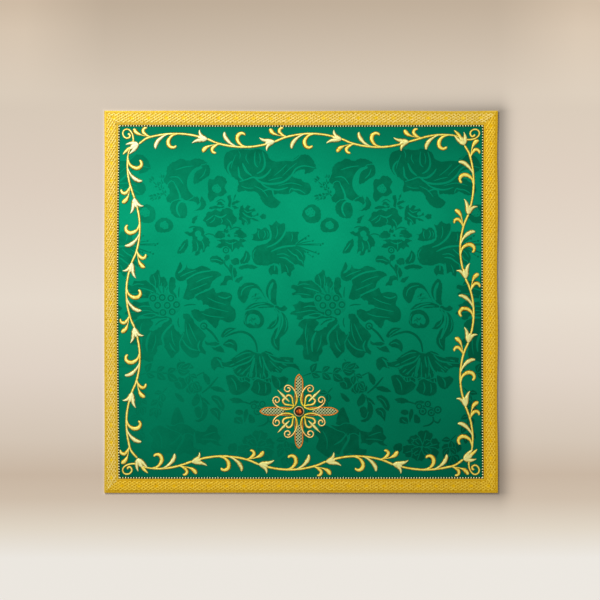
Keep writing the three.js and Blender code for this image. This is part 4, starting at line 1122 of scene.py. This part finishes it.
def thread_finish(name, deep, mid, light, heart=None, border=False):
    """Silk-wrapped metal thread: painted highlight along the crown of a stroke, painted shade at its
    stitched edges.
    """
    thread, place, add, calc, blend, noise, into = finish_nodes(
        name, 0.38, 0.25, Anisotropic=0.3, Specular_IOR_Level=0.4, Specular_Tint=(1, 0.85, 0.5, 1))
    ply_pitch = 0.0006
    stitch = add("ShaderNodeSeparateXYZ", {0: add("ShaderNodeUVMap", uv_map="UVMap").outputs[0]})
    across = calc("ABSOLUTE", calc("MULTIPLY_ADD", stitch.outputs[1], 2.0, -1.0))
    plies = calc("MULTIPLY_ADD", stitch.outputs[1], ply_pitch, stitch.outputs[0])
    ply = calc("SINE", calc("MULTIPLY", plies, 2 * math.pi / ply_pitch))
    # a random mottle in the thread's tone
    mottle = calc("MULTIPLY_ADD", noise(420.0), 0.6, calc("MULTIPLY_ADD", noise(210.0, 1.0), 0.7, -0.67))
    shade = calc("MULTIPLY_ADD", ply, 0.06, calc("ADD", calc("POWER", across, 1.7), mottle))
    crown_to_edge = add("ShaderNodeValToRGB", {0: shade})
    ramp = crown_to_edge.color_ramp
    ramp.elements[0].position, ramp.elements[0].color = 0.05, (*light, 1)
    ramp.elements[1].position, ramp.elements[1].color = 0.8, (*deep, 1)
    ramp.elements.new(0.42).color = (*mid, 1)
    colour = crown_to_edge.outputs[0]
    if heart:
        middle, tint = heart
        far = add("ShaderNodeVectorMath", {0: place, 1: middle}, operation="DISTANCE").outputs[1]
        near = calc("MINIMUM", calc("MAXIMUM", calc("MULTIPLY_ADD", far, -60.0, 1.9), 0.0), 1.0)
        colour = blend(1.0, colour, blend(near, (1, 1, 1), tint), "MULTIPLY")
    # painted light: on the border the threads are painted whiter towards the back left, where the window's
    # light falls, and darker and more golden elsewhere
    if border:
        east, north, _ = add("ShaderNodeSeparateXYZ", {0: place}).outputs
        back_left = calc("MULTIPLY", calc("MULTIPLY_ADD", north, 0.6, calc("MULTIPLY", east, -1.0)), 3.3)
        lit = calc("MINIMUM", calc("MAXIMUM", back_left, 0.0), 1.0)
        tint = blend(lit, (0.79, 0.85, 0.6), (0.83, 0.95, 1.1))
        colour = add("ShaderNodeVectorMath", {0: colour, 1: tint}, operation="MULTIPLY").outputs[0]
    into("Base Color", colour)
    into("Normal", add("ShaderNodeBump", {"Height": ply, "Strength": 0.3, "Distance": 0.00012}).outputs[0])
    return thread


gold_thread = thread_finish(
    "gold_thread", (0.15, 0.055, 0.001), (0.74, 0.45, 0.014), (1.0, 0.8, 0.22), border=True)
pale_thread = thread_finish(
    "champagne_thread", (0.17, 0.1, 0.01), (0.66, 0.52, 0.15), (0.94, 0.86, 0.46), border=True)
strokes = {"gold": [], "pale": []}
for side in veil_sides:
    end = side["length"] - stem_end_inset
    module = (end - side["first"] - side["extra"]) / 4
    places = [side["first"] + i * module for i in range(4)] + [end]
    stem = stem_line(side, places)
    cuts = [min(range(len(stem)), key=lambda k: abs(stem[k][0] - x)) for x in places[:4]]
    cuts = [0] + cuts + [len(stem) - 1]
    pieces = []
    for first, last in zip(cuts, cuts[1:]):
        widths = [2.4, 3.4, 3.6] if first == 0 else [3.6, 3.5, 3.4, 3.5, 3.6]
        pieces.append((stem[max(first - 1, 0):last + 2], widths, 0.95, "gold"))
    for m, x in enumerate(places):
        hollow = 1 if m % 2 == 0 else -1
        for before, leaf_side, headings, length, widths, rise, thread in vine_leaves:
            leaf = curling_line(stem_at(stem, x - before), headings, length, leaf_side * hollow)
            pieces.append((leaf, widths, rise, thread))
        if x != end:
            for petal_side, headings, length, widths, rise in sheath_petals:
                petal = curling_line(stem_at(stem, x), headings, length, petal_side * hollow)
                pieces.append((petal, widths, rise, "pale"))
    for root, headings, length, widths, rise, thread in corner_petals:
        petal = curling_line((end + root, stem_corner_depth), headings, length)
        pieces.append((petal, widths, rise, thread))
    pieces.append((curling_line(stem[0], [-54, -40], 15), [3, 5.6, 4.4, 1.4], 1.1, "gold"))
    for line, widths, rise, thread in pieces:
        stroke = satin_stroke(line, widths, rise)
        strokes[thread].append(place_stroke(stroke, "vine_stroke", partial(on_veil, side)))
gold_vine = stitch_together(strokes["gold"], "vine_gold_strokes", gold_thread)
pale_vine = stitch_together(strokes["pale"], "vine_pale_petals", pale_thread)
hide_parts("vine_embroidery")


# The cross near the front edge is worked in four pointed arms of silver lattice edged with rust cord,
# with gold scrolls, lobes and pale darts springing from the ring between them, all stitched down.
cross_x, cross_y = -2.9, -153.0
cross_middle = (cross_x * MM, cross_y * MM, cloth_top * MM)
arm_reaches = (55.2, 52.2, 55.2, 52.2)
arm_root, fill_root, scroll_root = 9.0, 18.5, 9.4
cord_inset = 0.9
arm_widths = [11, 11.6, 12, 12.4, 12.4, 12.4, 12.4, 12.4, 12.4, 12.2, 10.8, 7.8, 0.8]
fill_widths = [0.6, 5.5, 8.8, 10.4, 10.8, 10.8, 10.8, 10.8, 10.4, 8.6, 5.6, 0.6]
cord_widths = [0.9, 1.4, 1.8, 1.9, 1.9, 1.9]
# the scroll and the lobe on each side of a diagonal: name, headings, length, widths and rise
cross_curls = (
    ("scroll", [88, 60, 38, 22, 6, -22, -104, -190, -290, -450], 62, [2.8, 2.7, 2.5, 2.3, 2.2, 2.5, 3], 1.1),
    ("lobe", [14, 34, 42, 10, -44, -150], 24, [2.2, 2.6, 3.0, 3.4, 3.4, 3.6], 1.05),
)


def from_cross(turn):
    """Places what is drawn from the cross's middle along one of its four arms."""
    c, s = quarter_turns[turn]
    return lambda x, y: (cross_x + x * c - y * s, cross_y + x * s + y * c)


def from_diagonal(turn):
    """Places what is drawn from the cross's middle halfway between two arms."""
    half = math.sqrt(0.5)
    along_arm = from_cross(turn)
    return lambda x, y: along_arm((x - y) * half, (x + y) * half)


def arm_edge(reach, edge_side, steps=48):
    """The line of the cord along one edge of an arm, from its root to its point."""
    line = []
    for i in range(steps):
        off = edge_side * (even_steps(arm_widths, i / steps) / 2 - cord_inset)
        line.append((arm_root + (reach - arm_root) * i / steps, off))
    return line + [(reach, 0.0)]


lattice, place, add, calc, blend, noise, into = finish_nodes(
    "silver_lattice", 0.4, 0.3, Specular_IOR_Level=0.3, Specular_Tint=(0.8, 0.9, 0.6, 1))
lattice_bar_pitch = 0.0042
east, north, _ = add("ShaderNodeSeparateXYZ", {0: place}).outputs
bars = []
for sign in (1.0, -1.0):
    slant = calc("MULTIPLY_ADD", north, sign, east)
    bars.append(calc("ABSOLUTE", calc("SINE", calc("MULTIPLY", slant, math.pi / lattice_bar_pitch))))
bar = calc("POWER", calc("MAXIMUM", bars[0], bars[1]), 12.0)
into("Base Color", blend(bar, (0.006, 0.05, 0.018), (0.62, 0.64, 0.32)))
into("Normal", add("ShaderNodeBump", {"Height": bar, "Strength": 0.5, "Distance": 0.0004}).outputs[0])
rust_cord = thread_finish("rust_cord", (0.13, 0.02, 0.002), (0.45, 0.1, 0.008), (0.78, 0.27, 0.02))
scroll_gold = thread_finish(
    "scroll_gold", (0.16, 0.05, 0.003), (0.62, 0.34, 0.05), (0.98, 0.72, 0.26),
    heart=(cross_middle, (0.8, 0.95, 0.25)))
fills, cords, scrolls, darts = [], [], [], []
for turn, reach in enumerate(arm_reaches):
    spine = curling_line((fill_root, 0), [0, 0], reach - fill_root)
    fill = satin_stroke(spine, fill_widths, 0.5, fullness=0.25)
    fills.append(place_stroke(fill, "arm_fill", from_cross(turn)))
    for half_side in (1, -1):
        cord = satin_stroke(arm_edge(reach, half_side), cord_widths, 1.0)
        cords.append(place_stroke(cord, "arm_cord", from_cross(turn)))
        for name, headings, length, widths, rise in cross_curls:
            curl = satin_stroke(curling_line((scroll_root, 0), headings, length, half_side), widths, rise)
            scrolls.append(place_stroke(curl, name, from_diagonal(turn)))
    dart = satin_stroke(curling_line((fill_root, 0), [0, 0], 24), [1.6, 3.8, 4.6, 3.2, 0.8], 1.2)
    darts.append(place_stroke(dart, "dart", from_diagonal(turn)))
arm_fill = stitch_together(fills, "cross_arm_lattice", lattice)
arm_cords = stitch_together(cords, "cross_arm_cords", rust_cord)
cross_scrolls = stitch_together(scrolls, "cross_scrolls", scroll_gold)
cross_darts = stitch_together(darts, "cross_darts", pale_thread)
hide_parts("cross_embroidery")
bpy.data.objects.remove(pillow)


# A ring of pale gilt cord, two strands twisted together, is couched round the stone and covers the
# inner ends of the strokes.
ring_radius, cord_radius, ring_rise = 6.5, 0.85, 0.95
# how often the two strands wind round each other, and how far they part the cord's outline
strand_turns, strand_depth = 9, 0.2
cord_finish, place, add, calc, blend, noise, into = finish_nodes(
    "twisted_gilt_cord", 0.38, 0.3, Specular_IOR_Level=0.5)
fleck = noise(900.0)
into("Base Color", blend(fleck, (0.5, 0.32, 0.06), (0.9, 0.74, 0.34)))
into("Normal", add("ShaderNodeBump", {"Height": fleck, "Strength": 0.25, "Distance": 0.0001}).outputs[0])
bpy.ops.object.select_all(action="DESELECT")
bpy.ops.mesh.primitive_torus_add(
    major_segments=144, minor_segments=12, major_radius=ring_radius * MM, minor_radius=cord_radius * MM)
ring = bpy.context.object
ring.name = "couched_cord_ring"
for vertex in ring.data.vertices:
    around = math.atan2(vertex.co.y, vertex.co.x)
    reach = math.hypot(vertex.co.x, vertex.co.y) / MM - ring_radius
    across = math.atan2(vertex.co.z / MM, reach)
    between = 0.5 - 0.5 * math.cos(2 * across + 2 * strand_turns * around)
    swell = 0.9 * (1 - strand_depth * between)
    out = ring_radius + math.cos(across) * cord_radius * swell
    x, y = cross_x + out * math.cos(around), cross_y + out * math.sin(around)
    z = cloth_top + ring_rise + math.sin(across) * cord_radius * swell
    vertex.co = (x * MM, y * MM, z * MM)
bpy.ops.object.shade_smooth()
ring.data.materials.append(cord_finish)
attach(ring, "root")
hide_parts("stone_ring")


# The stone is a round faceted amber-red glass with a flat top and two rows of slanting sides. It
# sits low in a dark closed setting, which is sewn down inside the ring.
stone_radius, stone_depth, stone_rise = 4.6, 1.1, 0.85
facet_rows = ((0.9, 0.75), (0.9, 0.4))
setting_radius = 3.7
bpy.ops.object.select_all(action="DESELECT")
bpy.ops.mesh.primitive_cylinder_add(
    vertices=16, radius=stone_radius * MM, depth=stone_depth * MM,
    location=(cross_x * MM, cross_y * MM, (cloth_top + stone_rise) * MM))
stone = bpy.context.object
stone.name = "amber_stone"
bpy.ops.object.transform_apply(location=True, rotation=True, scale=True)
for polygon in stone.data.polygons:
    polygon.select = polygon.normal.z > 0.9
bpy.ops.object.mode_set(mode="EDIT")
bpy.ops.mesh.select_mode(type="FACE")
for inward, upward in facet_rows:
    bpy.ops.mesh.inset(thickness=inward * MM, depth=upward * MM)
bpy.ops.object.mode_set(mode="OBJECT")
amber, place, add, calc, blend, noise, into = finish_nodes(
    "amber_glass", 0.06, 0.0, Specular_IOR_Level=0.5, Specular_Tint=(1, 0.5, 0.3, 1))
stone_middle = (cross_x * MM, cross_y * MM, (cloth_top + 1.5) * MM)
# painted glints: random cells of the glass are painted between dark red and bright orange, as facets
# catching the light
facets = add("ShaderNodeTexVoronoi", {"Vector": place, "Scale": 560.0}).outputs["Color"]
sparkle = calc("POWER", add("ShaderNodeSeparateColor", {0: facets}).outputs[0], 1.8)
far = add("ShaderNodeVectorMath", {0: place, 1: stone_middle}, operation="DISTANCE").outputs[1]
in_setting = calc("GREATER_THAN", far, setting_radius * MM)
glass = blend(sparkle, (0.03, 0.001, 0.001), (0.9, 0.16, 0.01))
into("Base Color", blend(in_setting, glass, (0.02, 0.006, 0.004)))
stone.data.materials.append(amber)
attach(stone, "root")
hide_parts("stone")


# The veil lies on a plain pale table, lit by one soft window of light from the upper left. The
# table's tone is painted with the light and shade of the photograph's uneven backdrop and with a
# painted soft shadow round the veil.
window_place = (-0.9, 1.0, 1.3)
window_direction = (0.494, -0.546, -0.676)
half_width, half_depth = 0.275, 0.267
bpy.ops.object.select_all(action="DESELECT")
bpy.ops.mesh.primitive_plane_add(size=8, location=(0, 0, -0.0006))
table = bpy.context.object
table.name = "pale_table"
bpy.ops.object.transform_apply(location=True, rotation=True, scale=True)
paper, place, add, calc, blend, noise, into = finish_nodes("pale_paper", 0.9, Specular_IOR_Level=0.0)
east, north, _ = add("ShaderNodeSeparateXYZ", {0: place}).outputs

# the window lights the table unevenly, and the tone is divided by its share
from_window = add("ShaderNodeVectorMath", {0: place, 1: window_place}, operation="SUBTRACT").outputs[0]
shining = {0: from_window, 1: window_direction}
facing = add("ShaderNodeVectorMath", shining, operation="DOT_PRODUCT").outputs[1]
far = add("ShaderNodeVectorMath", {0: from_window}, operation="LENGTH").outputs[1]
window_share = calc("MULTIPLY_ADD", calc("DIVIDE", facing, calc("POWER", far, 4.0)), 4.5, 0.53)

# painted light and shade: the backdrop's tones from front to back, darkest in a band along the veil's
# front edge and darker again at the back
backdrop = add("ShaderNodeValToRGB", {0: calc("MULTIPLY_ADD", north, 1.2, 0.5)})
fade = backdrop.color_ramp
fade.elements[0].position, fade.elements[0].color = 0.07, (0.83, 0.79, 0.73, 1)
fade.elements[1].position, fade.elements[1].color = 1.0, (0.54, 0.435, 0.33, 1)
for at, tone in (
        (0.12, (0.74, 0.66, 0.55)), (0.17, (0.62, 0.51, 0.40)), (0.21, (0.58, 0.465, 0.36)),
        (0.27, (0.66, 0.56, 0.46)), (0.38, (0.75, 0.65, 0.56)), (0.5, (0.8, 0.71, 0.61)),
        (0.7, (0.74, 0.63, 0.53)), (0.85, (0.7, 0.6, 0.49))):
    fade.elements.new(at).color = (*tone, 1)

# painted light and shade: a soft shadow along the veil's edges, deeper to the right, with a thin pale
# rim of light, and light back corners
beyond_x = calc("MAXIMUM", calc("SUBTRACT", calc("ABSOLUTE", east), half_width), 0.0)
beyond_y = calc("MAXIMUM", calc("SUBTRACT", calc("ABSOLUTE", north), half_depth), 0.0)
square_x, square_y = calc("MULTIPLY", beyond_x, beyond_x), calc("MULTIPLY", beyond_y, beyond_y)
beyond = calc("SQRT", calc("ADD", square_x, square_y))
depth = calc("MAXIMUM", calc("ADD", east, 0.28), 0.0)
fading = calc("MULTIPLY_ADD", square_x, -4400.0, calc("MULTIPLY", beyond_y, -85.0))
shadow = calc("MULTIPLY_ADD", calc("MULTIPLY", depth, calc("EXPONENT", fading)), -0.98, 1.0)
rim = calc("MULTIPLY_ADD", calc("EXPONENT", calc("MULTIPLY", beyond, -700.0)), 0.45, 1.0)
corner_x = calc("MINIMUM", calc("MULTIPLY", beyond_x, 9.0), 1.0)
behind = calc("MAXIMUM", calc("SUBTRACT", north, 0.27), 0.0)
corner_y = calc("MINIMUM", calc("MULTIPLY", behind, 9.0), 1.0)
corner_light = calc("MULTIPLY_ADD", calc("MULTIPLY", corner_x, corner_y), 0.2, 1.0)
level = calc("DIVIDE", calc("MULTIPLY", calc("MULTIPLY", shadow, rim), corner_light), window_share)
tinted = {0: backdrop.outputs[0], 1: (1.01, 1.04, 1.09)}
cool = add("ShaderNodeVectorMath", tinted, operation="MULTIPLY").outputs[0]
into("Base Color", add("ShaderNodeVectorMath", {0: cool, 3: level}, operation="SCALE").outputs[0])
table.data.materials.append(paper)

bpy.ops.object.light_add(type="AREA", location=window_place)
window = bpy.context.object
window.name = "window_light"
window.data.shape = "DISK"
window.data.size = 0.9
window.data.energy = 34
window.data.color = (1.0, 0.97, 0.92)
window_aim = Vector((0.05, -0.05, 0))
window.rotation_euler = (window_aim - window.location).to_track_quat("-Z", "Y").to_euler()

world = bpy.data.worlds.new("soft_room")
bpy.context.scene.world = world
world.use_nodes = True
world.node_tree.nodes["Background"].inputs["Color"].default_value = (1.0, 0.98, 0.95, 1)
world.node_tree.nodes["Background"].inputs["Strength"].default_value = 0.55
bpy.context.scene.view_settings.view_transform = "Standard"
